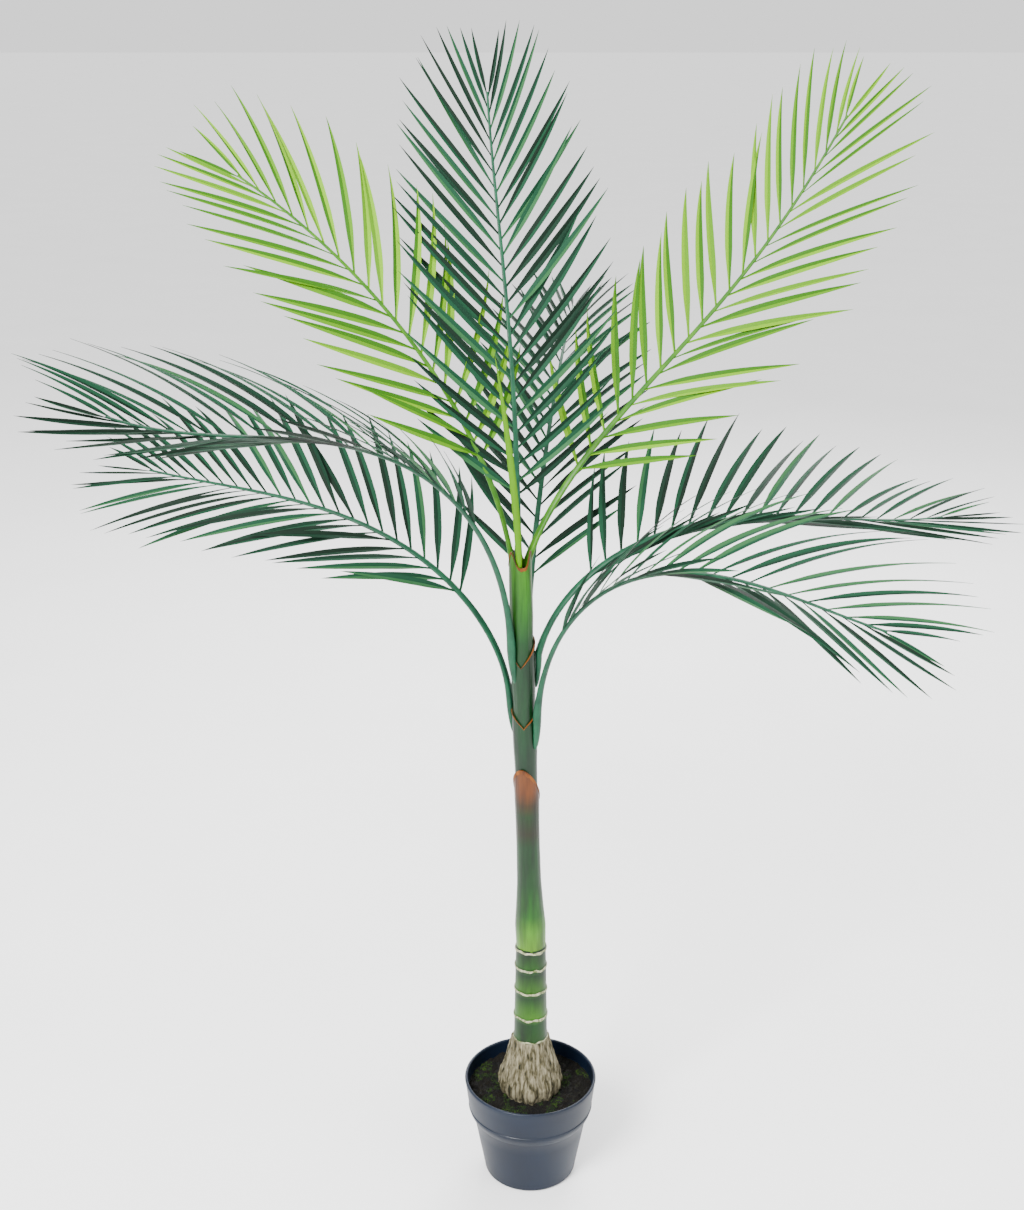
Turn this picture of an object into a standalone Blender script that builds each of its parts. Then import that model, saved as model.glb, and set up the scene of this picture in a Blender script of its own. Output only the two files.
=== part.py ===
"""Potted artificial areca palm: a plastic nursery pot, its moss-topped fill, a ringed stem
wrapped in sheaths, and eight feather fronds round one unopened spear leaf.

Metres, +Z up. The origin is at the middle of the pot's underside, and the side that the
palm is shown from faces -Y, with +X to the right.
"""

import math
import random
from dataclasses import dataclass

import bmesh
import bpy
from mathutils import Vector
from mathutils.bvhtree import BVHTree

GAP = 0.0003            # left between neighbouring pieces

# Pot and fill
POT_HEIGHT = 0.147
RIM_RADIUS = 0.090
RIM_LIP = 0.0042
BAND_FOOT_HEIGHT = 0.103    # lower edge of the upright band under the rim
BAND_FOOT_RADIUS = 0.0846
WAIST_HEIGHT = 0.087        # foot of the shoulder below the band
WAIST_RADIUS = 0.0776
FOOT_RADIUS = 0.062
FOOT_ROUND = 0.005
POT_WALL = 0.0026
POT_FLOOR = 0.003
POT_SEGMENTS = 40
SOIL_HEIGHT = 0.127

# Trunk: it leans a little to the left from its lowest sheath up
LEAN_FOOT = 0.360
LEAN_PER_METRE = -0.029
FLARE_PROFILE = ((0.0, 0.0380), (0.008, 0.0410), (0.018, 0.0418), (0.033, 0.0375),
                 (0.048, 0.0338), (0.063, 0.0298), (0.076, 0.0268), (0.085, 0.0246))
FLARE_SEGMENTS = 44
ROOT_RIDGES = 11
RIDGE_DEPTH = 0.06          # share of the radius at the foot
STEM_FOOT_RADIUS = 0.0226
STEM_TOP_RADIUS = 0.0200
STEM_TOP = 0.352
RING_HEIGHTS = (0.247, 0.288, 0.323)
RING_LIP = 0.0009
RING_HALF = 0.0024
TRUNK_SEGMENTS = 24

# Sheaths wrap the stem one above the other, each standing in the cup of the one below
CUP_DEPTH = 0.014
SHEATH_TOP = 0.888
FOOT_SPREAD = 30            # degrees of the stem that the foot of a petiole takes to each side

# Fronds
RIB_STEPS = 96              # fine steps along a rib's curve
RIB_SIDES = 4
RIB_DEPTH = 0.85            # thickness of a rib over its width
RIB_TIP = 0.0013
SQUARE = math.sqrt(2)     # corner over half side of the four-sided rib
PETIOLE_RINGS = 8
BLADE_RINGS = 6
LEAFLET_WIDTH = 0.0105
LEAFLET_KEEL = 0.0021       # thickness at the midrib
LEAFLET_STALK = 0.0034      # width where a leaflet leaves the rib
LEAFLET_STEPS = 12
LEAFLET_STATIONS = (0.0, 0.36, 0.74)
LEAFLET_WIDTHS = (0.32, 1.0, 0.66)
CLEARANCE = 0.0010          # kept by each leaflet from the other pieces
LIFTS = (0, 7, -7, 14, -14, 21, -21)    # degrees tried where a leaflet would touch
SEED = 41


@dataclass(frozen=True)
class Sheath:
    """One sheath: a tapered sleeve whose rim rises to a point on one side."""

    name: str
    profile: tuple          # height and radius of the sleeve, from its foot up
    rim_low: float
    rim_high: float
    rim_radius: float
    high_azimuth: float     # degrees, where the rim is highest
    notch: float            # 1 for a round slope, under 1 for a narrow notch
    bore: tuple = ()        # radius of the cup at its floor and at its rim


@dataclass(frozen=True)
class Frond:
    """One frond. Angles are in degrees; leans are from the vertical, at four even stations."""

    name: str
    height: float           # of the petiole's foot
    azimuth: float
    leans: tuple
    length: float
    bare: float             # share of the length that is petiole
    split: float            # share of the length where the blade is in two at its bend
    pairs: int
    leaflet: float          # length of the longest leaflet
    rib: float              # half width of the petiole at its foot
    roll: tuple = (0, 0)    # turn of the blade about its rib, at its foot and tip
    arch: tuple = (25, -18)     # rise of a leaflet out of the blade, at root and tip
    spread: tuple = (1, 1)  # opening of the leaflets on the two sides
    inset: float = 0.0      # foot's distance from the axis, or 0 to stand against the sheath
    pale: bool = False


SHEATHS = (
    Sheath("lower_sheath", ((STEM_TOP + GAP, 0.0196), (0.385, 0.0205), (0.415, 0.0181),
                            (0.450, 0.0160), (0.500, 0.0153), (0.535, 0.0154)),
           0.555, 0.617, 0.0163, 251, 1.0, (0.0142, 0.0149)),
    Sheath("second_sheath", ((0.5413, 0.0138), (0.617, 0.0145), (0.645, 0.0155), (0.665, 0.0157)),
           0.674, 0.702, 0.0158, 86, 0.4, (0.0142, 0.0144)),
    Sheath("third_sheath", ((0.6603, 0.0138), (0.702, 0.0140), (0.725, 0.0150), (0.750, 0.0153)),
           0.757, 0.796, 0.0155, 80, 0.5, (0.0140, 0.0142)),
    Sheath("top_sheath", ((0.7433, 0.0136), (0.796, 0.0138), (0.820, 0.0146), (0.855, 0.0145)),
           SHEATH_TOP, SHEATH_TOP, 0.0138, 270, 1.0),
)

FRONDS = (
    Frond("top", SHEATH_TOP + GAP, 103, (2, 14, 26, 15), 0.575, 0.15, 0.56, 26, 0.190, 0.0037,
          roll=(-4, -4), arch=(12, -4), inset=0.0090),
    Frond("pale_left", SHEATH_TOP + GAP, 168, (9, 29, 44, 58), 0.579, 0.24, 0.60, 19, 0.190,
          0.0037, roll=(-45, -45), inset=0.0090, pale=True),
    Frond("pale_right", SHEATH_TOP + GAP, 30, (21, 49, 45, 34), 0.696, 0.19, 0.58, 22, 0.200,
          0.0042, roll=(33, 33), inset=0.0088, pale=True),
    Frond("back", 0.740, 81, (8, 45, 60, 76), 0.620, 0.20, 0.58, 21, 0.190, 0.0044),
    Frond("left", 0.780, 220, (3, 44, 76, 63), 0.700, 0.26, 0.62, 24, 0.200, 0.0046,
          roll=(0, -50), spread=(1, 0.6)),
    Frond("low_left", 0.704, 158, (5, 57, 83, 84), 0.625, 0.25, 0.60, 23, 0.200, 0.0046,
          roll=(-30, -40)),
    Frond("right", 0.770, 12, (15, 69, 95, 86), 0.600, 0.20, 0.58, 22, 0.200, 0.0046,
          roll=(30, 10), arch=(12, -6), spread=(0.8, 1.2)),
    Frond("low_right", 0.690, 322, (4, 48, 88, 94), 0.595, 0.22, 0.60, 20, 0.200, 0.0046,
          roll=(10, 30)),
)

SPEAR = Frond("spear", SHEATH_TOP + GAP, 262, (2, 3, 4, 5), 0.266, 1.0, 1.0, 0, 0.0, 0.0040,
              inset=0.0080, pale=True)
SPEAR_LEAN = -0.10          # radians to the left at the tip

COLOURS = {
    "pot_plastic": ((0.025, 0.042, 0.062, 1), 0.45),
    "soil_moss": ((0.020, 0.024, 0.014, 1), 0.95),
    "root_bark": ((0.36, 0.31, 0.22, 1), 0.85),
    "stem_green": ((0.045, 0.150, 0.050, 1), 0.50),
    "sheath_green": ((0.040, 0.130, 0.050, 1), 0.50),
    "frond_dark": ((0.030, 0.110, 0.070, 1), 0.55),
    "frond_pale": ((0.330, 0.520, 0.060, 1), 0.50),
}


def clear_scene():
    for old in list(bpy.data.objects):
        bpy.data.objects.remove(old, do_unlink=True)


def material(name):
    """The named plastic finish, made once."""
    mat = bpy.data.materials.get(name)
    if mat is None:
        colour, roughness = COLOURS[name]
        mat = bpy.data.materials.new(name)
        mat.use_nodes = True
        shader = mat.node_tree.nodes["Principled BSDF"]
        shader.inputs["Base Color"].default_value = colour
        shader.inputs["Roughness"].default_value = roughness
        shader.inputs["Metallic"].default_value = 0.0
        mat.diffuse_color = colour
    return mat


def new_object(name, mesh, finish):
    mesh.materials.clear()
    mesh.materials.append(material(finish))
    piece = bpy.data.objects.new(name, mesh)
    bpy.context.scene.collection.objects.link(piece)
    return piece


def turned(name, profile, segments, finish):
    """A solid turned about the Z axis from a profile of radii and heights, axis to axis."""
    bm = bmesh.new()
    verts = [bm.verts.new((radius, 0, height)) for radius, height in profile]
    edges = [bm.edges.new(pair) for pair in zip(verts, verts[1:])]
    bmesh.ops.spin(bm, geom=verts + edges, axis=(0, 0, 1), cent=(0, 0, 0), steps=segments,
                   angle=math.tau, use_merge=True)
    bmesh.ops.remove_doubles(bm, verts=bm.verts, dist=1e-6)
    bmesh.ops.recalc_face_normals(bm, faces=bm.faces)
    mesh = bpy.data.meshes.new(name)
    bm.to_mesh(mesh)
    bm.free()
    mesh.shade_smooth()
    mesh.set_sharp_from_angle(angle=math.radians(35))
    return new_object(name, mesh, finish)


def loft(rings):
    """Points and faces of a closed solid through rings of equally many points.

    A last ring of one point makes a tip.
    """
    count = len(rings[0])
    points = [point for ring in rings for point in ring]
    faces = [tuple(reversed(range(count)))]
    for low in range(0, (len(rings) - 1) * count, count):
        tip = len(rings[low // count + 1]) == 1
        for side in range(count):
            nxt = (side + 1) % count
            if tip:
                faces.append((low + side, low + nxt, low + count))
            else:
                faces.append((low + side, low + nxt, low + count + nxt, low + count + side))
    if len(rings[-1]) > 1:
        first = len(points) - count
        faces.append(tuple(range(first, first + count)))
    return points, faces


def solid(name, points, faces, finish, crease=40):
    mesh = bpy.data.meshes.new(name)
    mesh.from_pydata([tuple(point) for point in points], [], faces)
    mesh.shade_smooth()
    mesh.set_sharp_from_angle(angle=math.radians(crease))
    return new_object(name, mesh, finish)


def axis_point(height):
    """The middle of the leaning trunk at a height."""
    return Vector((LEAN_PER_METRE * max(0.0, height - LEAN_FOOT), 0, height))


def along(values, share):
    """A value read from an evenly spaced list, in straight lines between its entries."""
    place = min(max(share, 0.0), 1.0) * (len(values) - 1)
    low = min(int(place), len(values) - 2)
    return values[low] + (values[low + 1] - values[low]) * (place - low)


def round_ring(height, radius, segments):
    """A level ring round the trunk; height and radius may be functions of the azimuth."""
    ring = []
    for step in range(segments):
        azimuth = math.tau * step / segments
        z = height(azimuth) if callable(height) else height
        r = radius(azimuth) if callable(radius) else radius
        ring.append(axis_point(z) + Vector((r * math.cos(azimuth), r * math.sin(azimuth), 0)))
    return ring


def pot_wall_radius(height):
    """Outer radius of the pot's wall between its foot round and its rim."""
    if height >= BAND_FOOT_HEIGHT:
        share = (height - BAND_FOOT_HEIGHT) / (POT_HEIGHT - BAND_FOOT_HEIGHT)
        return BAND_FOOT_RADIUS + (RIM_RADIUS - BAND_FOOT_RADIUS) * share
    if height >= WAIST_HEIGHT:
        share = (height - WAIST_HEIGHT) / (BAND_FOOT_HEIGHT - WAIST_HEIGHT)
        return WAIST_RADIUS + (BAND_FOOT_RADIUS - WAIST_RADIUS) * math.sin(share * math.pi / 2)
    return FOOT_RADIUS + (WAIST_RADIUS - FOOT_RADIUS) * height / WAIST_HEIGHT


def make_pot():
    """The nursery pot: flat foot, tapered wall, shoulder, upright band and rolled lip."""
    outer = [(0, 0)]
    for step in range(4):
        angle = math.pi / 2 * step / 3
        outer.append((pot_wall_radius(FOOT_ROUND) - FOOT_ROUND * (1 - math.sin(angle)),
                      FOOT_ROUND * (1 - math.cos(angle))))
    heights = (WAIST_HEIGHT, 0.091, 0.097, BAND_FOOT_HEIGHT, POT_HEIGHT - 0.002)
    outer += [(pot_wall_radius(height), height) for height in heights]
    lip = [(RIM_RADIUS - 0.001, POT_HEIGHT), (RIM_RADIUS - RIM_LIP, POT_HEIGHT)]
    inner = [(pot_wall_radius(height) - POT_WALL, height)
             for height in (POT_HEIGHT - 0.006, BAND_FOOT_HEIGHT, WAIST_HEIGHT)]
    inner.append((pot_wall_radius(POT_FLOOR) - POT_WALL, POT_FLOOR))
    return turned("pot", outer + lip + inner + [(0, POT_FLOOR)], POT_SEGMENTS, "pot_plastic")


def make_fill():
    """The fill that holds the trunk, up to a finger's width under the rim."""
    heights = (POT_FLOOR + GAP, WAIST_HEIGHT, BAND_FOOT_HEIGHT, SOIL_HEIGHT)
    wall = [(pot_wall_radius(height) - POT_WALL - 2 * GAP, height) for height in heights]
    profile = [(0, heights[0])] + wall + [(0, heights[-1])]
    return turned("pot_fill", profile, POT_SEGMENTS, "soil_moss")


def make_root_flare():
    """The ridged foot of the trunk, cut flat where it meets the fill."""
    foot = SOIL_HEIGHT + GAP
    rings = []
    for rise, radius in FLARE_PROFILE:
        depth = RIDGE_DEPTH * (1 - rise / FLARE_PROFILE[-1][0])

        def ridged(azimuth, radius=radius, depth=depth, rise=rise):
            return radius * (1 + depth * math.sin(ROOT_RIDGES * azimuth + 12 * rise))

        rings.append(round_ring(foot + rise, ridged, FLARE_SEGMENTS))
    return solid("root_flare", *loft(rings), "root_bark")


def make_ringed_stem():
    """The bare stem with the raised scars that shed sheaths leave."""
    foot = SOIL_HEIGHT + GAP + FLARE_PROFILE[-1][0] + GAP
    marks = [(foot, 0), (foot + RING_HALF, RING_LIP)]
    for height in RING_HEIGHTS:
        marks += [(height - RING_HALF, 0), (height, RING_LIP), (height + RING_HALF, 0)]
    marks += [(STEM_TOP - RING_HALF, 0), (STEM_TOP, RING_LIP)]
    rings = []
    for height, lip in marks:
        share = (height - foot) / (STEM_TOP - foot)
        radius = STEM_FOOT_RADIUS + (STEM_TOP_RADIUS - STEM_FOOT_RADIUS) * share + lip
        rings.append(round_ring(height, radius, TRUNK_SEGMENTS))
    return solid("ringed_stem", *loft(rings), "stem_green")


def rim_height(sheath, azimuth):
    """How far up a sheath reaches on one side."""
    swing = (1 + math.cos(azimuth - math.radians(sheath.high_azimuth))) / 2
    return sheath.rim_low + (sheath.rim_high - sheath.rim_low) * swing ** sheath.notch


def make_sheath(sheath):
    """A sleeve with an uneven rim and, under it, the cup that the next sheath stands in."""
    def rim(azimuth):
        return rim_height(sheath, azimuth)

    rings = [round_ring(height, radius, TRUNK_SEGMENTS) for height, radius in sheath.profile]
    rings.append(round_ring(rim, sheath.rim_radius, TRUNK_SEGMENTS))
    if sheath.bore:
        rings.append(round_ring(rim, sheath.bore[1], TRUNK_SEGMENTS))
        rings.append(round_ring(sheath.rim_low - CUP_DEPTH, sheath.bore[0], TRUNK_SEGMENTS))
    return solid(sheath.name, *loft(rings), "sheath_green")


def sheath_radius(height, azimuth):
    """Outer radius of the sheaths that a petiole's foot stands against."""
    widest = 0.0
    for sheath in SHEATHS:
        for turn in (-FOOT_SPREAD, 0, FOOT_SPREAD):
            top = rim_height(sheath, math.radians(azimuth + turn))
            if sheath.profile[0][0] <= height <= top:
                widest = max(widest, profile_radius(sheath, top, height))
    return widest


def profile_radius(sheath, top, height):
    """A sheath's outer radius at a height, on a side where it reaches up to the given top."""
    stations = sheath.profile + ((top, sheath.rim_radius),)
    for (low, first), (high, last) in zip(stations, stations[1:]):
        if low <= height <= high:
            return first + (last - first) * (height - low) / (high - low)
    return sheath.rim_radius


class Rib:
    """The curve of a frond's rib, with the frame of its blade along it."""

    def __init__(self, frond):
        self.frond = frond
        azimuth = math.radians(frond.azimuth)
        self.outward = Vector((math.cos(azimuth), math.sin(azimuth), 0))
        self.side = Vector((-math.sin(azimuth), math.cos(azimuth), 0))
        room = frond.rib * RIB_DEPTH + GAP
        offset = frond.inset or sheath_radius(frond.height, frond.azimuth) + room
        point = axis_point(frond.height) + self.outward * offset
        self.points = [point]
        for step in range(RIB_STEPS):
            point = point + self.tangent((step + 0.5) / RIB_STEPS) * frond.length / RIB_STEPS
            self.points.append(point)

    def lean(self, share):
        """Lean from the vertical: the cubic through the frond's four stations."""
        total = 0.0
        for index, value in enumerate(self.frond.leans):
            weight = 1.0
            for other in range(4):
                if other != index:
                    weight *= (share * 3 - other) / (index - other)
            total += value * weight
        return math.radians(total)

    def tangent(self, share):
        lean = self.lean(share)
        return self.outward * math.sin(lean) + Vector((0, 0, math.cos(lean)))

    def point(self, share):
        place = min(max(share, 0.0), 1.0) * RIB_STEPS
        low = min(int(place), RIB_STEPS - 1)
        return self.points[low].lerp(self.points[low + 1], place - low)

    def frame(self, share):
        """Along the rib, across the blade and out of its upper face."""
        ahead = self.tangent(share)
        face = ahead.cross(self.side)
        roll = math.radians(self.roll(share))
        across = self.side * math.cos(roll) + face * math.sin(roll)
        return ahead, across, ahead.cross(across)

    def roll(self, share):
        """Turn about the rib: none at the foot, then the blade's own from its first leaflets."""
        first, last = self.frond.roll
        bare = self.frond.bare
        if share < bare:
            return first * (1 - math.cos(math.pi * share / bare)) / 2
        return first + (last - first) * (share - bare) / (1 - bare)

    def half_width(self, share):
        return self.frond.rib + (RIB_TIP - self.frond.rib) * share ** 0.8

    def ring(self, share):
        centre = self.point(share)
        _, across, face = self.frame(share)
        wide = self.half_width(share)
        ring = []
        for step in range(RIB_SIDES):
            angle = math.tau * (step + 0.5) / RIB_SIDES
            ring.append(centre + across * wide * math.cos(angle) * SQUARE
                        + face * wide * RIB_DEPTH * math.sin(angle) * SQUARE)
        return ring

    def stretch(self, start, end, count):
        """A tube along part of the rib, short of both ends by half a gap."""
        trim = GAP / 2 / self.frond.length
        start, end = (start + trim if start > 0 else 0.0), (end - trim if end < 1 else 1.0)
        shares = [start + (end - start) * step / (count - 1) for step in range(count)]
        rings = [self.ring(share) for share in shares]
        if start == 0.0:
            foot = self.frond.height
            ahead = self.tangent(0.0)
            rings[0] = [point + ahead * ((foot - point.z) / ahead.z) for point in rings[0]]
        return loft(rings)


def leaflet_length(place):
    """Share of the longest leaflet's length at a place from the blade's foot to its tip."""
    if place < 0.38:
        return 0.78 + 0.22 * math.sin(math.pi / 2 * place / 0.38)
    return 0.40 + 0.60 * (1 - ((place - 0.38) / 0.62) ** 5)


def leaflet_width(place):
    """Full width of a leaflet at a place on the blade; those near the tip are narrower."""
    return LEAFLET_WIDTH * (1 - 0.48 * max(0.0, (place - 0.45) / 0.55))


def leaflet_angle(place):
    """Angle in degrees between rib and leaflet at a place on the blade."""
    if place < 0.4:
        return 54 - 11 * place / 0.4
    return 43 - 29 * ((place - 0.4) / 0.6) ** 2.2


@dataclass
class Leaflet:
    """One leaflet as it leaves the rib, with its own small differences."""

    share: float            # where on the rib
    side: int               # -1 or 1
    length: float
    width: float
    angle: float
    rise: float             # added to the frond's arch
    twist: float


def frond_leaflets(frond, seed):
    """The leaflets of a frond from foot to tip, nearly in pairs."""
    rng = random.Random(seed)
    leaflets = []
    for index in range(frond.pairs):
        for side in (-1, 1):
            place = min(1.0, max(0.0, (index + 0.15 * side) / (frond.pairs - 1)))
            share = frond.bare + (0.995 - frond.bare) * place
            length = frond.leaflet * leaflet_length(place) * rng.uniform(0.95, 1.05)
            opening = frond.spread[0] if side < 0 else frond.spread[1]
            angle = leaflet_angle(place) * opening + rng.uniform(-2.5, 2.5)
            rise = rng.uniform(-5, 5)
            twist = rng.uniform(-14, 14)
            if rng.random() < 0.12:
                angle -= 6
            leaflets.append(Leaflet(share, side, length, leaflet_width(place), angle, rise, twist))
    return leaflets


def leaflet_path(rib, leaflet, lift):
    """Points along a leaflet's midrib and, at each, the directions along it and off its face."""
    ahead, across, face = rib.frame(leaflet.share)
    outward = across * leaflet.side
    point = rib.point(leaflet.share) + outward * rib.half_width(leaflet.share) * 0.2
    root_rise, tip_rise = rib.frond.arch
    steps = [(point, None, None)]
    for step in range(LEAFLET_STEPS):
        share = (step + 0.5) / LEAFLET_STEPS
        angle = math.radians(leaflet.angle - 6 * share)
        rise = math.radians(root_rise + (tip_rise - root_rise) * share + leaflet.rise + lift)
        open_way = outward * math.cos(rise) + face * math.sin(rise)
        along_way = ahead * math.cos(angle) + open_way * math.sin(angle)
        normal = face * math.cos(rise) - outward * math.sin(rise)
        normal = (normal - along_way * normal.dot(along_way)).normalized()
        turn = math.radians(leaflet.twist)
        normal = normal * math.cos(turn) + along_way.cross(normal) * math.sin(turn)
        point = point + along_way * leaflet.length / LEAFLET_STEPS
        steps.append((point, along_way, normal))
    steps[0] = (steps[0][0], steps[1][1], steps[1][2])
    return steps


def leaflet_solid(rib, leaflet, lift, margin=0.0):
    """A keeled lance of three sides, from inside the rib to a needle tip."""
    path = leaflet_path(rib, leaflet, lift)
    rings = []
    for station, widening in zip(LEAFLET_STATIONS, LEAFLET_WIDTHS):
        point, ahead, normal = path[round(station * LEAFLET_STEPS)]
        cross = ahead.cross(normal)
        half = leaflet.width * widening / 2 + margin
        keel = LEAFLET_KEEL * (1 + widening) / 2 + margin
        rings.append([point + cross * half + normal * margin,
                      point - cross * half + normal * margin,
                      point - normal * keel])
    rings.append([path[-1][0]])
    points, faces = loft(rings)
    return points, faces


def is_outward(points, faces):
    """Whether a closed mesh's faces point out, by the sign of its volume."""
    volume = 0.0
    for face in faces:
        for second, third in zip(face[1:], face[2:]):
            volume += points[face[0]].dot(points[second].cross(points[third]))
    return volume > 0


def facing_out(points, faces):
    if is_outward(points, faces):
        return points, faces
    return points, [tuple(reversed(face)) for face in faces]


def union(name, solids, finish):
    """One closed body from solids that run into each other."""
    scraps = bpy.data.collections.new(name + "_pieces")
    base = solid(name, *solids[0], finish)
    for number, (points, faces) in enumerate(solids[1:]):
        piece = solid(f"{name}_{number}", points, faces, finish)
        bpy.context.scene.collection.objects.unlink(piece)
        scraps.objects.link(piece)
    fuse = base.modifiers.new("fuse", "BOOLEAN")
    fuse.operation = "UNION"
    fuse.operand_type = "COLLECTION"
    fuse.collection = scraps
    fuse.solver = "MANIFOLD"
    evaluated = base.evaluated_get(bpy.context.evaluated_depsgraph_get())
    mesh = bpy.data.meshes.new_from_object(evaluated)
    base.modifiers.clear()
    base.data = mesh
    mesh.name = name
    for piece in list(scraps.objects):
        bpy.data.objects.remove(piece, do_unlink=True)
    bpy.data.collections.remove(scraps)
    keep_largest(mesh)
    mesh.materials.clear()
    mesh.materials.append(material(finish))
    mesh.shade_smooth()
    mesh.set_sharp_from_angle(angle=math.radians(40))
    return base


def keep_largest(mesh):
    """Drops loose scraps and sealed hollows, so that one shell is left."""
    bm = bmesh.new()
    bm.from_mesh(mesh)
    shells, seen = [], set()
    for start in bm.faces:
        if start in seen:
            continue
        shell, stack = [], [start]
        seen.add(start)
        while stack:
            face = stack.pop()
            shell.append(face)
            for edge in face.edges:
                for other in edge.link_faces:
                    if other not in seen:
                        seen.add(other)
                        stack.append(other)
        shells.append(shell)
    shells.sort(key=len)
    for shell in shells[:-1]:
        bmesh.ops.delete(bm, geom=shell, context="FACES")
    bm.to_mesh(mesh)
    bm.free()


class Taken:
    """The space that finished pieces take, to keep each leaflet clear of them."""

    def __init__(self):
        self.trees = {}

    def add(self, name, points, faces):
        self.trees[name] = BVHTree.FromPolygons([tuple(p) for p in points], faces)

    def add_object(self, piece):
        mesh = piece.data
        self.add(piece.name, [v.co for v in mesh.vertices], [tuple(p.vertices) for p in mesh.polygons])

    def touches(self, points, faces, own):
        tree = BVHTree.FromPolygons([tuple(p) for p in points], faces)
        return any(other.overlap(tree) for name, other in self.trees.items() if name not in own)


def make_fronds(taken):
    """Petioles and ribs first, then each blade's leaflets where they find room."""
    ribs = [Rib(frond) for frond in FRONDS]
    tubes = {}
    for rib in ribs:
        frond = rib.frond
        finish = "frond_pale" if frond.pale else "frond_dark"
        petiole = rib.stretch(0.0, frond.bare, PETIOLE_RINGS)
        taken.add_object(solid("petiole_" + frond.name, *facing_out(*petiole), finish))
        for part, start, end in (("inner", frond.bare, frond.split), ("outer", frond.split, 1.0)):
            name = f"frond_{frond.name}_{part}"
            tubes[name] = facing_out(*rib.stretch(start, end, BLADE_RINGS))
            taken.add(name, *tubes[name])
    skipped = 0
    for number, rib in enumerate(ribs):
        frond = rib.frond
        leaflets = frond_leaflets(frond, SEED + number)
        for part, start, end in (("inner", 0.0, frond.split), ("outer", frond.split, 1.0)):
            name = f"frond_{frond.name}_{part}"
            margin = LEAFLET_STALK / frond.length
            pieces = [tubes[name]]
            for leaflet in leaflets:
                if not start <= leaflet.share < end:
                    continue
                leaflet.share = min(max(leaflet.share, start + margin), max(end - margin, start))
                for lift in LIFTS:
                    room = leaflet_solid(rib, leaflet, lift, CLEARANCE)
                    if not taken.touches(*room, own=(name,)):
                        pieces.append(facing_out(*leaflet_solid(rib, leaflet, lift)))
                        break
                else:
                    skipped += 1
            blade = union(name, pieces, "frond_pale" if frond.pale else "frond_dark")
            taken.add_object(blade)
    print("leaflets left out:", skipped)


def make_spear():
    """The youngest leaf, still folded to a slim spear."""
    rib = Rib(SPEAR)
    rings = []
    for share, widening in ((0.0, 0.8), (0.2, 1.0), (0.5, 0.9), (0.8, 0.5)):
        ring = rib.ring(share)
        centre = rib.point(share)
        slip = Vector((SPEAR_LEAN * share ** 1.5 * SPEAR.length, 0, 0))
        scale = SPEAR.rib * widening / rib.half_width(share)
        rings.append([centre + (point - centre) * scale + slip for point in ring])
    rings[0] = [Vector((point.x, point.y, SPEAR.height)) for point in rings[0]]
    rings.append([rib.point(1.0) + Vector((SPEAR_LEAN * SPEAR.length, 0, 0))])
    return solid("spear_leaf", *facing_out(*loft(rings)), "frond_pale")


def main():
    clear_scene()
    taken = Taken()
    trunk = [make_pot(), make_fill(), make_root_flare(), make_ringed_stem()]
    trunk += [make_sheath(sheath) for sheath in SHEATHS]
    trunk.append(make_spear())
    for piece in trunk:
        taken.add_object(piece)
    make_fronds(taken)


main()
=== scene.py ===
"""Looks of the potted artificial areca palm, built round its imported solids.

Metres, +Z up, the origin at the middle of the pot's underside and the shown side towards -Y.
"""

import logging
import math
import random
from collections.abc import Callable
from dataclasses import dataclass, field
from enum import Enum

import bpy
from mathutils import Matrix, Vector, noise

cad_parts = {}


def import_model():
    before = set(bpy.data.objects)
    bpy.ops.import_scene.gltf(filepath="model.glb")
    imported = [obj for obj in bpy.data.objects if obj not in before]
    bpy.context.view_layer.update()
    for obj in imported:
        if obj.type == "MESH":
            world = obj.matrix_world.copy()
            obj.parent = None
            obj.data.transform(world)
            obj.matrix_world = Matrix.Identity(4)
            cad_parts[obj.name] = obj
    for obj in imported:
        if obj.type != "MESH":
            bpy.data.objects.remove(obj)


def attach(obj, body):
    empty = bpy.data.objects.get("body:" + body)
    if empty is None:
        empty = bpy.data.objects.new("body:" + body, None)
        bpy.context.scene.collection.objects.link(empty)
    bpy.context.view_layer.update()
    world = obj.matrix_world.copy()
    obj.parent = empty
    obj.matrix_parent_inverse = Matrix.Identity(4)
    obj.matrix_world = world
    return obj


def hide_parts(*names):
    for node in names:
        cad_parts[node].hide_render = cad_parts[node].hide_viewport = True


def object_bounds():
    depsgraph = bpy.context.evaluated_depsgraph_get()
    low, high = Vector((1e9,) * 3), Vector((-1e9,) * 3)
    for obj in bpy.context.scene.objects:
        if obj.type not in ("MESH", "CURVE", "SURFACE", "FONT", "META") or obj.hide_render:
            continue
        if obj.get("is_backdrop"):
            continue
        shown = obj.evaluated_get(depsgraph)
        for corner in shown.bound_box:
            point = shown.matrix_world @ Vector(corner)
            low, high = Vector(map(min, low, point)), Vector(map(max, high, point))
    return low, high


LOG = logging.getLogger("palm")
GAP = 0.0003

# Camera of the photograph
CAMERA_PLACE = (-0.0252, -1.945, 1.556)
CAMERA_PITCH_DOWN = 20.32
CAMERA_LENS_MM = 50.0
CAMERA_LONG_SIDE_MM = 36.0

# Pot and fill
POT_HEIGHT = 0.147
RIM_RADIUS = 0.090
RIM_LIP = 0.0042
BAND_FOOT_HEIGHT = 0.103
BAND_FOOT_RADIUS = 0.0846
WAIST_HEIGHT = 0.087
WAIST_RADIUS = 0.0776
FOOT_RADIUS = 0.062
FOOT_ROUND = 0.005
POT_WALL = 0.0026
SOIL_HEIGHT = 0.127

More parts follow.
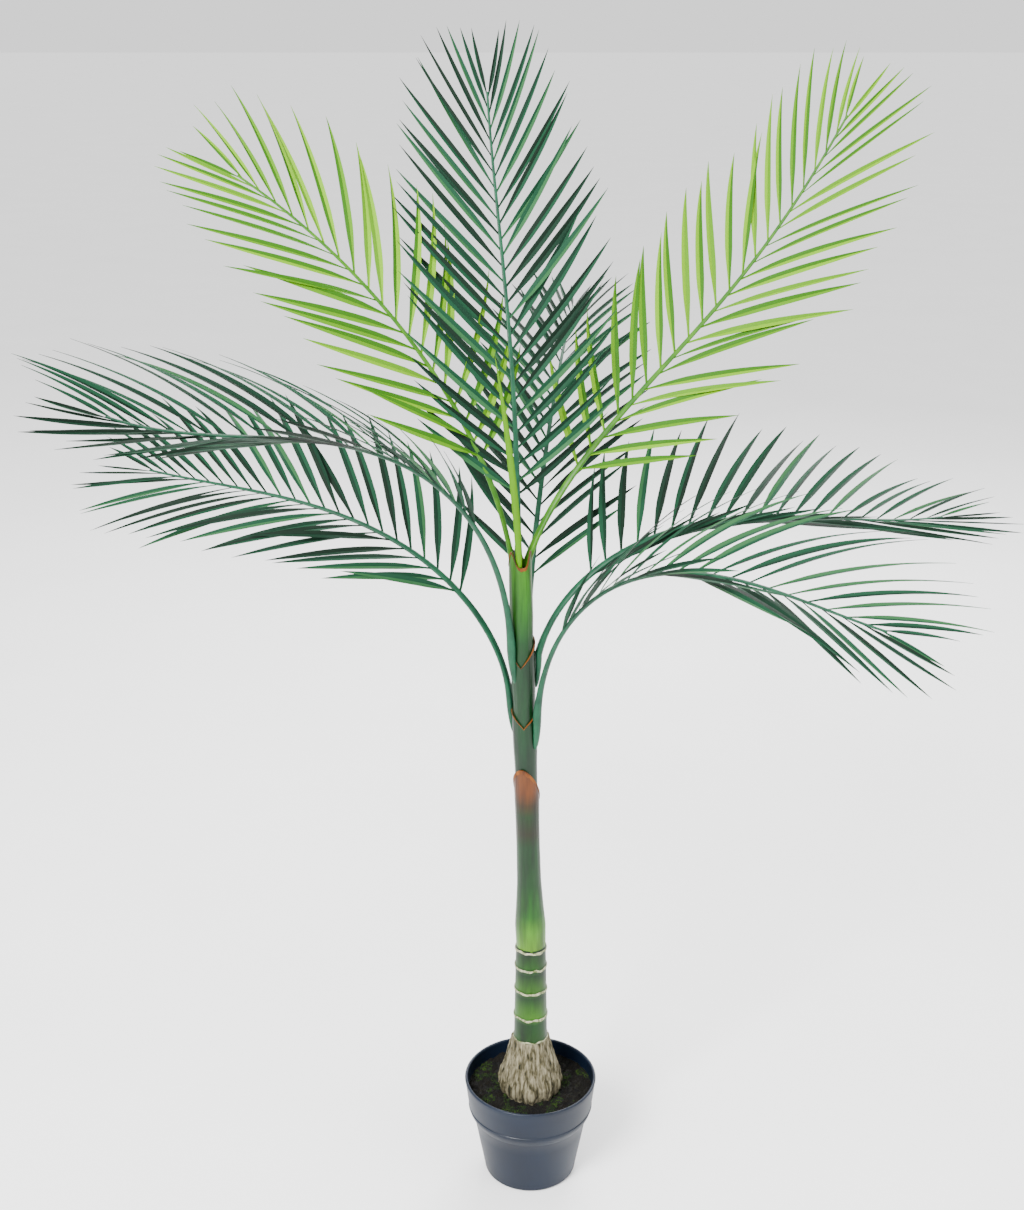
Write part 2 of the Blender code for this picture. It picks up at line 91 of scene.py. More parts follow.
# Trunk
LEAN_FOOT = 0.360
LEAN_PER_METRE = -0.029
FLARE_PROFILE = ((0.0, 0.0380), (0.008, 0.0410), (0.018, 0.0418), (0.033, 0.0375),
                 (0.048, 0.0338), (0.063, 0.0298), (0.076, 0.0268), (0.085, 0.0246))
ROOT_RIDGES = 11
FIBRES = 17
STEM_FOOT_RADIUS = 0.0226
STEM_TOP_RADIUS = 0.0200
STEM_FOOT = SOIL_HEIGHT + FLARE_PROFILE[-1][0] - 0.004      # it stands a little down in the flare
STEM_TOP = 0.352
RING_HEIGHTS = (0.212, 0.247, 0.288, 0.323, 0.350)
CUP_DEPTH = 0.014
SHEATH_TOP = 0.888
FOOT_SPREAD = 30

# Fronds
RIB_STEPS = 96
RIB_DEPTH = 0.85
RIB_TIP = 0.0013
RIB_SWELL = 1.12            # the round section over the source's four-sided one
RIB_CHANNEL = 0.38          # depth of the channel over the half thickness
LEAFLET_WIDTH = 0.0105
LEAFLET_KEEL = 0.0021
LEAFLET_STEPS = 14
SEED = 41

# How much stronger and deeper base colours are than the finished look
COLOUR_STRENGTH = 1.35
COLOUR_DEPTH = 0.54
COLOUR_LEAST = 0.0015       # no channel of a base colour is darker

# A colour Mix node's sockets, whose names its number sockets have too
MIX_FIRST, MIX_SECOND, MIX_RESULT = 6, 7, 2
RELIEF_FINENESS = 5.0       # how much finer the shared relief is than the mask


def linear(code: str) -> tuple[float, float, float, float]:
    """Linear colour of a six-figure colour code.

    Args:
        code: Red, green and blue in hexadecimal, as seen on a screen.

    Returns:
        The colour as a shader socket takes it.
    """
    channels = [int(code[place:place + 2], 16) / 255 for place in (0, 2, 4)]
    linears = [c / 12.92 if c <= 0.04045 else ((c + 0.055) / 1.055) ** 2.4 for c in channels]
    return (*linears, 1.0)


def deep(code: str) -> tuple[float, float, float, float]:
    """A base colour set deeper and stronger, as bright studio light pales it again.

    Args:
        code: Red, green and blue in hexadecimal, as the finished part should look.

    Returns:
        The linear colour for the shader.
    """
    channels = linear(code)[:3]
    grey = sum(channels) / 3
    return (*(max(COLOUR_LEAST, (grey + (c - grey) * COLOUR_STRENGTH) * COLOUR_DEPTH)
              for c in channels), 1.0)


class Slot(Enum):
    """The record's material slots."""

    POT = "pot_plastic"
    SOIL = "soil_moss"
    ROOT = "root_bark"
    STEM = "stem_green"
    SHEATH = "sheath_green"
    DARK = "frond_dark"
    PALE = "frond_pale"


# Colours of the stem and its sheaths at their heights
STEM_BANDS = ((0.205, "4A4022"), (0.214, "23481A"), (0.240, "143A16"), (0.252, "4A7A22"),
              (0.281, "143A16"), (0.293, "416E20"), (0.316, "123614"), (0.328, "2E5C1C"),
              (0.348, "10320F"))
LOWER_BANDS = ((0.352, "6FA01E"), (0.380, "5A901A"), (0.405, "2C6418"), (0.450, "17441A"),
               (0.505, "123A18"), (0.525, "262714"), (0.550, "1E3818"), (0.566, "3F3014"),
               (0.585, "7C4A1C"), (0.617, "8E561F"))
DARK_BANDS = ((0.540, "0F2E1A"), (0.640, "143A20"), (0.700, "184222"), (0.800, "143A20"))
TOP_BANDS = ((0.743, "143A20"), (0.790, "1A4A20"), (0.835, "387220"), (0.900, "4E8624"))


def between(stations: tuple, height: float) -> float:
    """Reads a radius off the straight lines between stations.

    Args:
        stations: Pairs of a height and the radius there, from the foot up.
        height: The height asked for.

    Returns:
        The radius, which above the last station stays as it is there.
    """
    for (low, first), (high, last) in zip(stations, stations[1:]):
        if height <= high:
            return first + (last - first) * (height - low) / (high - low)
    return stations[-1][1]


@dataclass(frozen=True)
class Sheath:
    """One sheath: a tapered sleeve whose rim rises to a point on one side."""

    name: str
    profile: tuple              # height and radius of the sleeve, from its foot up
    rim_low: float
    rim_high: float
    rim_radius: float
    high_azimuth: float         # degrees, where the rim is highest
    notch: float                # 1 for a round slope, under 1 for a narrow notch
    bands: tuple
    edge_width: float
    crest: float = 0.0          # height of the rim's lobes
    lobes: int = 3
    lobe_turn: float = 0.9      # radians

    def swing(self, azimuth: float) -> float:
        """How near a side is to the one with the highest rim, from 0 to 1."""
        return (1 + math.cos(azimuth - math.radians(self.high_azimuth))) / 2

    def rim(self, azimuth: float) -> float:
        """Height of the rim.

        Args:
            azimuth: The side, in radians.

        Returns:
            How far up the sheath reaches there.
        """
        crest = self.crest * (0.5 + 0.5 * math.cos(self.lobes * azimuth + self.lobe_turn)) ** 2
        slope = self.swing(azimuth) ** self.notch
        return self.rim_low + (self.rim_high - self.rim_low) * slope + crest

    def radius(self, top: float, height: float) -> float:
        """Outer radius at a height.

        Args:
            top: Where the rim is on this side.
            height: The height asked for.

        Returns:
            The radius between the stations of the profile.
        """
        return between(self.profile + ((top, self.rim_radius),), height)


@dataclass(frozen=True)
class Frond:
    """One frond of the source: angles in degrees, leans from the vertical at four stations."""

    name: str
    height: float               # of the petiole's foot
    azimuth: float
    leans: tuple
    length: float
    bare: float                 # share of the length that is petiole
    pairs: int
    leaflet: float              # length of the longest leaflet
    rib: float                  # half width of the petiole at its foot
    roll: tuple = (0, 0)        # turn of the blade about its rib, at its foot and tip
    arch: tuple = (25, -18)     # rise of a leaflet out of the blade, at root and tip
    spread: tuple = (1, 1)      # opening of the leaflets on the two sides
    inset: float = 0.0          # foot's distance from the axis, or 0 against the sheath
    pale: bool = False
    sweep: tuple = (1.0, 1.0)   # angle share, foot and tip, of leaflets that face the shown side


SHEATHS = (
    Sheath("lower_sheath", ((STEM_TOP + GAP, 0.0196), (0.385, 0.0205), (0.415, 0.0181),
                            (0.450, 0.0160), (0.500, 0.0153), (0.535, 0.0154)),
           0.555, 0.617, 0.0163, 251, 1.0, LOWER_BANDS, 0.006),
    Sheath("second_sheath", ((0.5413, 0.0138), (0.617, 0.0145), (0.645, 0.0155), (0.665, 0.0157)),
           0.674, 0.702, 0.0158, 86, 0.4, DARK_BANDS, 0.004),
    Sheath("third_sheath", ((0.6603, 0.0138), (0.702, 0.0140), (0.725, 0.0150), (0.750, 0.0153)),
           0.757, 0.796, 0.0155, 80, 0.5, DARK_BANDS, 0.004),
    Sheath("top_sheath", ((0.7433, 0.0136), (0.796, 0.0138), (0.820, 0.0146), (0.855, 0.0145)),
           SHEATH_TOP, SHEATH_TOP, 0.0138, 270, 1.0, TOP_BANDS, 0.004, 0.020),
)

FRONDS = (
    Frond("top", SHEATH_TOP + GAP, 103, (2, 14, 26, 15), 0.575, 0.15, 26, 0.190, 0.0037,
          roll=(-4, -4), arch=(12, -4), inset=0.0090),
    Frond("pale_left", SHEATH_TOP + GAP, 168, (9, 29, 44, 58), 0.579, 0.24, 19, 0.190, 0.0037,
          roll=(-45, -45), inset=0.0090, pale=True),
    Frond("pale_right", SHEATH_TOP + GAP, 30, (21, 49, 45, 34), 0.696, 0.19, 22, 0.200, 0.0042,
          roll=(33, 33), inset=0.0088, pale=True),
    Frond("back", 0.740, 81, (8, 45, 60, 76), 0.620, 0.20, 21, 0.190, 0.0044),
    Frond("left", 0.780, 220, (3, 44, 76, 63), 0.700, 0.26, 24, 0.200, 0.0046,
          roll=(0, -50), spread=(1, 0.6), sweep=(0.7, 0.7)),
    Frond("low_left", 0.704, 158, (5, 57, 83, 84), 0.625, 0.25, 23, 0.200, 0.0046,
          roll=(-30, -40)),
    Frond("right", 0.770, 12, (15, 69, 95, 86), 0.600, 0.20, 22, 0.200, 0.0046,
          roll=(30, 10), arch=(12, -6), spread=(0.8, 1.2), sweep=(0.4, 0.6)),
    Frond("low_right", 0.690, 322, (4, 48, 88, 94), 0.595, 0.22, 20, 0.200, 0.0046,
          roll=(10, 30), sweep=(0.35, 1.0)),
)
SPEAR = Frond("spear", SHEATH_TOP + GAP, 262, (2, 3, 4, 5), 0.266, 1.0, 0, 0.0, 0.0040,
              inset=0.0080, pale=True)
SPEAR_LEAN = -0.10


def axis_point(height: float) -> Vector:
    """The middle of the leaning trunk at a height."""
    return Vector((LEAN_PER_METRE * max(0.0, height - LEAN_FOOT), 0, height))


def eased(value: float) -> float:
    """A smooth step from 0 to 1."""
    value = min(max(value, 0.0), 1.0)
    return value * value * (3 - 2 * value)


@dataclass
class MeshBag:
    """Points, faces and surface coordinates of many small shapes that become one piece."""

    points: list = field(default_factory=list)
    faces: list = field(default_factory=list)
    places: list = field(default_factory=list)

    def grid(self, rows: list, closed: bool = False, flip: bool = False) -> None:
        """Adds a skin over rows of equally many points.

        Args:
            rows: Lists of points, from one end of the shape to the other.
            closed: Whether each row is a ring.
            flip: Whether the faces are turned over.
        """
        first, count = len(self.points), len(rows[0])
        for number, row in enumerate(rows):
            for step, point in enumerate(row):
                self.points.append(point)
                self.places.append((step / max(count - 1, 1), number / (len(rows) - 1)))
        for number in range(len(rows) - 1):
            low = first + number * count
            for side in range(count if closed else count - 1):
                nxt = (side + 1) % count
                quad = (low + side, low + nxt, low + count + nxt, low + count + side)
                self.faces.append(tuple(reversed(quad)) if flip else quad)

    def cap(self, row: list, flip: bool = False) -> None:
        """Closes a ring with one face.

        Args:
            row: The ring's points.
            flip: Whether the face is turned over.
        """
        first = len(self.points)
        self.points += row
        self.places += [(0.5, 0.0)] * len(row)
        face = tuple(range(first, first + len(row)))
        self.faces.append(tuple(reversed(face)) if flip else face)

    def tube(self, rows: list) -> None:
        """Adds a closed skin over rings, with a cap at each end."""
        self.grid(rows, closed=True)
        self.cap(rows[0], flip=True)
        self.cap(rows[-1])

    def build(self, name: str, crease: float = 50.0) -> bpy.types.Object:
        """Makes the bag one object.

        Args:
            name: The piece's name.
            crease: Edges sharper than this many degrees stay sharp.

        Returns:
            The new object, at the origin.
        """
        mesh = bpy.data.meshes.new(name)
        mesh.from_pydata([tuple(point) for point in self.points], [], self.faces)
        layer = mesh.uv_layers.new(name="surface")
        corners = [0] * len(mesh.loops)
        mesh.loops.foreach_get("vertex_index", corners)
        layer.data.foreach_set("uv", [value for corner in corners for value in self.places[corner]])
        mesh.shade_smooth()
        mesh.set_sharp_from_angle(angle=math.radians(crease))
        piece = bpy.data.objects.new(name, mesh)
        bpy.context.scene.collection.objects.link(piece)
        return piece


def make_mottle_group() -> bpy.types.NodeTree:
    """The shared group: a soft mask and a fine relief, both stretched along Z as asked.

    Returns:
        A node tree with inputs Size, Stretch and Detail, and outputs Mask and Relief.
    """
    group = bpy.data.node_groups.new("mottle_and_relief", "ShaderNodeTree")
    for label, value in (("Size", 40.0), ("Stretch", 1.0), ("Detail", 6.0)):
        socket = group.interface.new_socket(label, in_out="INPUT", socket_type="NodeSocketFloat")
        socket.default_value = value
    for label in ("Mask", "Relief"):
        group.interface.new_socket(label, in_out="OUTPUT", socket_type="NodeSocketFloat")
    nodes, links = group.nodes, group.links
    ends = nodes.new("NodeGroupInput"), nodes.new("NodeGroupOutput")
    place = nodes.new("ShaderNodeTexCoord")
    squeeze = nodes.new("ShaderNodeCombineXYZ")
    squeeze.inputs["X"].default_value = 1.0
    squeeze.inputs["Y"].default_value = 1.0
    scaled = nodes.new("ShaderNodeVectorMath")
    scaled.operation = "MULTIPLY"
    links.new(ends[0].outputs["Stretch"], squeeze.inputs["Z"])
    links.new(place.outputs["Object"], scaled.inputs[0])
    links.new(squeeze.outputs[0], scaled.inputs[1])
    for label, factor in (("Mask", 1.0), ("Relief", RELIEF_FINENESS)):
        size = nodes.new("ShaderNodeMath")
        size.operation = "MULTIPLY"
        size.inputs[1].default_value = factor
        clouds = nodes.new("ShaderNodeTexNoise")
        links.new(ends[0].outputs["Size"], size.inputs[0])
        links.new(size.outputs[0], clouds.inputs["Scale"])
        links.new(ends[0].outputs["Detail"], clouds.inputs["Detail"])
        links.new(scaled.outputs[0], clouds.inputs["Vector"])
        links.new(clouds.outputs["Fac"], ends[1].inputs[label])
    return group


@dataclass(frozen=True)
class Finish:
    """A surface of two mottled colours with a fine relief."""

    name: str
    colours: tuple
    roughness: float
    size: float = 40.0
    stretch: float = 1.0
    contrast: tuple = (0.35, 0.65)
    bump: float = 0.2
    depth: float = 0.0006
    coat: float = 0.0
    bands: tuple = ()           # heights with the colours there, from the foot up
    plain: bool = False         # whether the colours are used as they are
    specular: float = 0.25

    def by_height(self, tree: bpy.types.NodeTree,
                  shading: bpy.types.NodeSocket) -> bpy.types.NodeSocket:
        """Colours that change with height, darkened by the mottle.

        Args:
            tree: The material's nodes.
            shading: The socket with the grey mottle.

        Returns:
            The socket with the finished colour.
        """
        nodes, links = tree.nodes, tree.links
        low, high = self.bands[0][0], self.bands[-1][0]
        place = nodes.new("ShaderNodeTexCoord")
        split = nodes.new("ShaderNodeSeparateXYZ")
        span = nodes.new("ShaderNodeMapRange")
        span.inputs["From Min"].default_value = low
        span.inputs["From Max"].default_value = high
        zones = nodes.new("ShaderNodeValToRGB")
        entries = zones.color_ramp.elements
        entries[0].color, entries[1].color = deep(self.bands[0][1]), deep(self.bands[-1][1])
        for height, code in self.bands[1:-1]:
            entries.new((height - low) / (high - low)).color = deep(code)
        blend = nodes.new("ShaderNodeMix")
        blend.data_type = "RGBA"
        blend.blend_type = "MULTIPLY"
        blend.inputs["Factor"].default_value = 1.0
        links.new(place.outputs["Object"], split.inputs[0])
        links.new(split.outputs["Z"], span.inputs["Value"])
        links.new(span.outputs["Result"], zones.inputs["Fac"])
        links.new(zones.outputs["Color"], blend.inputs[MIX_FIRST])
        links.new(shading, blend.inputs[MIX_SECOND])
        return blend.outputs[MIX_RESULT]

    def build(self) -> bpy.types.Material:
        """The material, made once.

        Returns:
            A Principled material whose colour and normal come from the shared group.
        """
        made = bpy.data.materials.get(self.name)
        if made:
            return made
        made = bpy.data.materials.new(self.name)
        made.use_nodes = True
        nodes, links = made.node_tree.nodes, made.node_tree.links
        shader = nodes["Principled BSDF"]
        shader.inputs["Roughness"].default_value = self.roughness
        shader.inputs["Coat Weight"].default_value = self.coat
        shader.inputs["Specular IOR Level"].default_value = self.specular
        mottle = nodes.new("ShaderNodeGroup")
        mottle.node_tree = bpy.data.node_groups["mottle_and_relief"]
        mottle.inputs["Size"].default_value = self.size
        mottle.inputs["Stretch"].default_value = self.stretch
        ramp = nodes.new("ShaderNodeValToRGB")
        entries = ramp.color_ramp.elements
        entries[0].position, entries[1].position = self.contrast
        tone = linear if self.bands or self.plain else deep
        entries[0].color = tone(self.colours[0])
        entries[1].color = tone(self.colours[-1])
        for number, code in enumerate(self.colours[1:-1], 1):
            share = number / (len(self.colours) - 1)
            spot = self.contrast[0] + (self.contrast[1] - self.contrast[0]) * share
            entries.new(spot).color = tone(code)
        links.new(mottle.outputs["Mask"], ramp.inputs["Fac"])
        colour = ramp.outputs["Color"]
        if self.bands:
            colour = self.by_height(made.node_tree, colour)
        links.new(colour, shader.inputs["Base Color"])
        bump = nodes.new("ShaderNodeBump")
        bump.inputs["Strength"].default_value = self.bump
        bump.inputs["Distance"].default_value = self.depth
        links.new(mottle.outputs["Relief"], bump.inputs["Height"])
        links.new(bump.outputs["Normal"], shader.inputs["Normal"])
        return made


@dataclass(frozen=True)
class LeafFinish:
    """One plain leaf colour with fine veins along the leaflet."""

    name: str
    colour: str
    roughness: float = 0.58
    specular: float = 0.14
    vein_scale: float = 1.6
    vein_waver: float = 0.4
    bump: float = 0.35
    depth: float = 0.0004

    def build(self) -> bpy.types.Material:
        """The leaf material, made once, with veins along the leaflet's own surface coordinates.

        Returns:
            A Principled material of one base colour.
        """
        made = bpy.data.materials.get(self.name)
        if made:
            return made
        made = bpy.data.materials.new(self.name)
        made.use_nodes = True
        nodes, links = made.node_tree.nodes, made.node_tree.links
        shader = nodes["Principled BSDF"]
        shader.inputs["Base Color"].default_value = deep(self.colour)
        shader.inputs["Roughness"].default_value = self.roughness
        shader.inputs["Specular IOR Level"].default_value = self.specular
        place = nodes.new("ShaderNodeTexCoord")
        veins = nodes.new("ShaderNodeTexWave")
        veins.bands_direction = "X"
        veins.inputs["Scale"].default_value = self.vein_scale
        veins.inputs["Distortion"].default_value = self.vein_waver
        bump = nodes.new("ShaderNodeBump")
        bump.inputs["Strength"].default_value = self.bump
        bump.inputs["Distance"].default_value = self.depth
        links.new(place.outputs["UV"], veins.inputs["Vector"])
        links.new(veins.outputs["Fac"], bump.inputs["Height"])
        links.new(bump.outputs["Normal"], shader.inputs["Normal"])
        return made


POT_FINISH = Finish("moulded_slate_plastic", ("0A1624", "101F31"), 0.48, size=12.0,
                    contrast=(0.3, 0.7), bump=0.12, depth=0.0003, coat=0.05)
SOIL_FINISH = Finish("crumbly_dark_soil", ("050503", "0E0D08", "181A09"), 0.95, size=90.0,
                     contrast=(0.35, 0.7), bump=0.8, depth=0.0015)
CRUMB_FINISH = Finish("soil_crumbs", ("070604", "16130C"), 0.95, size=120.0)
MOSS_FINISH = Finish("moss_flecks", ("101C08", "1E2E0C", "2E4012"), 0.9, size=150.0)
BARK_FINISH = Finish("fibrous_root_bark", ("1C2012", "57523F", "8A8470", "B4AD96"), 0.85,
                     size=260.0, stretch=0.10, contrast=(0.30, 0.64), bump=1.0, depth=0.0022)
STEM_FINISH = Finish("ringed_stem_green", ("8C8C8C", "D8D8D8", "FFFFFF"), 0.45, size=55.0,
                     stretch=0.25, contrast=(0.35, 0.72), bump=0.3, bands=STEM_BANDS)
SCAR_FINISH = Finish("whitish_ring_scar", ("6E7A50", "D2D2B8"), 0.75, size=260.0,
                     contrast=(0.35, 0.6), bump=0.5)
EDGE_FINISH = Finish("orange_brown_edge", ("35200C", "6E4216", "8E5A26"), 0.6, size=120.0,
                     stretch=0.3, contrast=(0.3, 0.7), bump=0.5, depth=0.0005)
DARK_RIB_FINISH = Finish("dark_rib_green", ("1B4230", "2C5E44"), 0.42, size=60.0,
                         contrast=(0.3, 0.7), bump=0.25, depth=0.0004)
PALE_RIB_FINISH = Finish("pale_rib_green", ("356A1C", "588C24"), 0.42, size=60.0,
                         contrast=(0.3, 0.7), bump=0.25, depth=0.0004)
FLOOR_FINISH = Finish("pale_studio_floor", ("F4F4F4", "F7F7F7"), 0.9, size=3.0,
                      contrast=(0.3, 0.7), bump=0.0, plain=True)


class Tint(Enum):
    """Leaf colours that are dealt out half leaflet by half leaflet: lighter and darker copies of
    the dark and the pale green, which paint light and shade on the leaflets.
    """

    DARK_DEEP = LeafFinish("leaf_dark_deep", "0E2418")
    DARK_MIDDLE = LeafFinish("leaf_dark_middle", "163324")
    DARK_SOFT = LeafFinish("leaf_dark_soft", "234A35")
    DARK_LIGHT = LeafFinish("leaf_dark_light", "3F6A47")
    PALE_OLIVE = LeafFinish("leaf_pale_olive", "427400")
    PALE_MIDDLE = LeafFinish("leaf_pale_middle", "699A00")
    PALE_BRIGHT = LeafFinish("leaf_pale_bright", "88B800")


# Pairs of a lighter and a darker tint: on each leaflet the lighter is painted light on one half of
# the crease and the darker is painted shade on the other half. Which pair a leaflet gets varies at
# random.
DARK_LIT_SHADED_PAIRS = ((Tint.DARK_MIDDLE, Tint.DARK_DEEP), (Tint.DARK_SOFT, Tint.DARK_MIDDLE),
              (Tint.DARK_LIGHT, Tint.DARK_SOFT), (Tint.DARK_SOFT, Tint.DARK_DEEP))
PALE_LIT_SHADED_PAIRS = ((Tint.PALE_BRIGHT, Tint.PALE_OLIVE), (Tint.PALE_MIDDLE, Tint.PALE_OLIVE),
              (Tint.PALE_BRIGHT, Tint.PALE_MIDDLE))


def dress(piece: bpy.types.Object, look: bpy.types.Material, slot: Slot, nodes: tuple) -> None:
    """Gives a finished piece its material and body.

    Args:
        piece: The finished piece.
        look: Its material.
        slot: The record's slot for its finish; not used.
        nodes: The CAD nodes that it stands for.
    """
    piece.data.materials.clear()
    piece.data.materials.append(look)
    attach(piece, "root")
    if nodes:
        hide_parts(*nodes)
    LOG.info("%s: %d faces", piece.name, len(piece.data.polygons))


@dataclass
class NurseryPot:
    """The pot: flat foot, tapered wall, shoulder, upright band with a moulded line, rolled lip."""

    steps: int = 128
    corner_steps: int = 6
    lip_steps: int = 8
    sole_edge: float = 0.014        # where the underside has a ring, in from its edge
    wall_stations: tuple = (0.02, 0.045, 0.07)
    shoulder_step: float = 0.002
    shoulder_rings: int = 7
    line_start: tuple = (0.0002, 0.0006)    # inwards and down from the moulded line
    line_lip: float = 0.0007
    line_height: float = 0.0008
    band_stations: tuple = (0.115, 0.130, 0.1395)
    inner_stations: tuple = (0.140, 0.120, 0.100, 0.08)
    crease: float = 40.0

    def wall(self, height: float) -> float:
        """Outer radius of the wall.

        Args:
            height: The height asked for.

        Returns:
            The radius of the taper, the shoulder or the band.
        """
        if height >= BAND_FOOT_HEIGHT:
            share = (height - BAND_FOOT_HEIGHT) / (POT_HEIGHT - BAND_FOOT_HEIGHT)
            return BAND_FOOT_RADIUS + (RIM_RADIUS - BAND_FOOT_RADIUS) * share
        if height >= WAIST_HEIGHT:
            share = (height - WAIST_HEIGHT) / (BAND_FOOT_HEIGHT - WAIST_HEIGHT)
            return WAIST_RADIUS + (BAND_FOOT_RADIUS - WAIST_RADIUS) * math.sin(share * math.pi / 2)
        return FOOT_RADIUS + (WAIST_RADIUS - FOOT_RADIUS) * height / WAIST_HEIGHT

    def profile(self) -> list:
        """Radii and heights from the middle of the underside round the lip to the inner floor.

        Returns:
            The half section's points.
        """
        outer = [(0.0, 0.0), (FOOT_RADIUS - self.sole_edge, 0.0)]
        for step in range(self.corner_steps + 1):
            angle = math.pi / 2 * step / self.corner_steps
            outer.append((self.wall(FOOT_ROUND) - FOOT_ROUND * (1 - math.sin(angle)),
                          FOOT_ROUND * (1 - math.cos(angle))))
        heights = [*self.wall_stations, WAIST_HEIGHT]
        heights += [WAIST_HEIGHT + self.shoulder_step * step
                    for step in range(1, self.shoulder_rings + 1)]
        outer += [(self.wall(height), height) for height in heights]
        line = self.wall(BAND_FOOT_HEIGHT)
        inwards, down = self.line_start
        outer += [(line - inwards, BAND_FOOT_HEIGHT - down),
                  (line + self.line_lip, BAND_FOOT_HEIGHT),
                  (line + self.line_lip, BAND_FOOT_HEIGHT + self.line_height),
                  (line, BAND_FOOT_HEIGHT + 2 * self.line_height)]
        outer += [(self.wall(height), height) for height in self.band_stations]
        lip = []
        for step in range(self.lip_steps + 1):
            angle = math.pi * step / self.lip_steps
            lip.append((RIM_RADIUS - RIM_LIP / 2 + RIM_LIP / 2 * math.cos(angle),
                        POT_HEIGHT - RIM_LIP / 2 + RIM_LIP / 2 * math.sin(angle)))
        inner = [(self.wall(height) - POT_WALL, height) for height in self.inner_stations]
        return outer + lip + inner + [(0.0, self.inner_stations[-1])]

    def build(self) -> None:
        """Spins the half section into the pot and dresses it."""
        mesh = bpy.data.meshes.new("nursery_pot")
        points = [(radius, 0.0, height) for radius, height in self.profile()]
        mesh.from_pydata(points, [(low, low + 1) for low in range(len(points) - 1)], [])
        piece = bpy.data.objects.new("nursery_pot", mesh)
        bpy.context.scene.collection.objects.link(piece)
        bpy.ops.object.select_all(action="DESELECT")
        piece.select_set(True)
        bpy.context.view_layer.objects.active = piece
        bpy.ops.object.mode_set(mode="EDIT")
        bpy.ops.mesh.select_all(action="SELECT")
        bpy.ops.mesh.spin(steps=self.steps, angle=math.tau, center=(0, 0, 0), axis=(0, 0, 1))
        bpy.ops.mesh.select_all(action="SELECT")
        bpy.ops.mesh.remove_doubles(threshold=1e-6)
        bpy.ops.mesh.normals_make_consistent(inside=False)
        bpy.ops.object.mode_set(mode="OBJECT")
        bpy.ops.object.shade_smooth_by_angle(angle=math.radians(self.crease))
        dress(piece, POT_FINISH.build(), Slot.POT, ("pot",))


@dataclass
class PotFill:
    """The crumbly top of the fill, with moss among the crumbs."""

    rings: int = 26
    segments: int = 96
    overlap: float = 0.0008         # past the band's foot radius, so that it ends in the wall
    middle: float = 0.0002          # radius of the innermost ring
    relief: float = 0.0034
    lump_scale: float = 90.0
    grain_scale: float = 240.0
    crumbs: int = 5200
    crumb_area: tuple = (0.2, 0.97)     # shares of the top's area that they lie between
    crumb_size: tuple = (0.0007, 0.0024)
    unevenness: tuple = (0.6, 1.25)
    moss_scale: float = 60.0
    moss_edge: float = 0.12
    moss_share: float = 0.75

    def surface(self, radius: float, azimuth: float) -> Vector:
        """A point of the uneven top.

        Args:
            radius: Its distance from the axis.
            azimuth: Its side, in radians.

        Returns:
            The point, lifted by lumps and a finer grain.
        """
        x, y = radius * math.cos(azimuth), radius * math.sin(azimuth)
        grain = noise.noise(Vector((x, y, 3)) * self.grain_scale)
        lift = noise.noise(Vector((x, y, 0)) * self.lump_scale) + 0.5 * grain
        return Vector((x, y, SOIL_HEIGHT + self.relief * lift))

    def build(self) -> None:
        """Builds the top, the crumbs and the moss."""
        edge = BAND_FOOT_RADIUS + self.overlap
        bag = MeshBag()
        rows = []
        for ring in range(self.rings + 1):
            radius = max(edge * ring / self.rings, self.middle)
            rows.append([self.surface(radius, math.tau * step / self.segments)
                         for step in range(self.segments)])
        bag.grid(rows, closed=True)
        dress(bag.build("soil_top", 80), SOIL_FINISH.build(), Slot.SOIL, ("pot_fill",))
        rng = random.Random(SEED)
        bags = {"soil_crumbs": MeshBag(), "moss_flecks": MeshBag()}
        for _ in range(self.crumbs):
            radius = edge * math.sqrt(rng.uniform(*self.crumb_area))
            azimuth = rng.uniform(0, math.tau)
            centre = self.surface(radius, azimuth)
            mossy = (noise.noise(centre * self.moss_scale) > self.moss_edge
                     and rng.random() < self.moss_share)
            size = rng.uniform(*self.crumb_size)
            self.crumb(bags["moss_flecks" if mossy else "soil_crumbs"], centre, size, rng)
        dress(bags["soil_crumbs"].build("soil_crumbs", 30), CRUMB_FINISH.build(), Slot.SOIL,
              ("pot_fill",))
        dress(bags["moss_flecks"].build("moss_flecks", 30), MOSS_FINISH.build(), Slot.SOIL,
              ("pot_fill",))

    def crumb(self, bag: MeshBag, centre: Vector, size: float, rng: random.Random) -> None:
        """Adds one uneven eight-sided crumb.

        Args:
            bag: Where it goes.
            centre: Its middle.
            size: Its half width.
            rng: The seeded source of its differences.
        """
        first = len(bag.points)
        for way in ((1, 0, 0), (0, 1, 0), (-1, 0, 0), (0, -1, 0), (0, 0, 1), (0, 0, -1)):
            bag.points.append(centre + Vector(way) * size * rng.uniform(*self.unevenness))
            bag.places.append((0.5, 0.5))
        for side in range(4):
            nxt = (side + 1) % 4
            bag.faces.append((first + side, first + nxt, first + 4))
            bag.faces.append((first + nxt, first + side, first + 5))


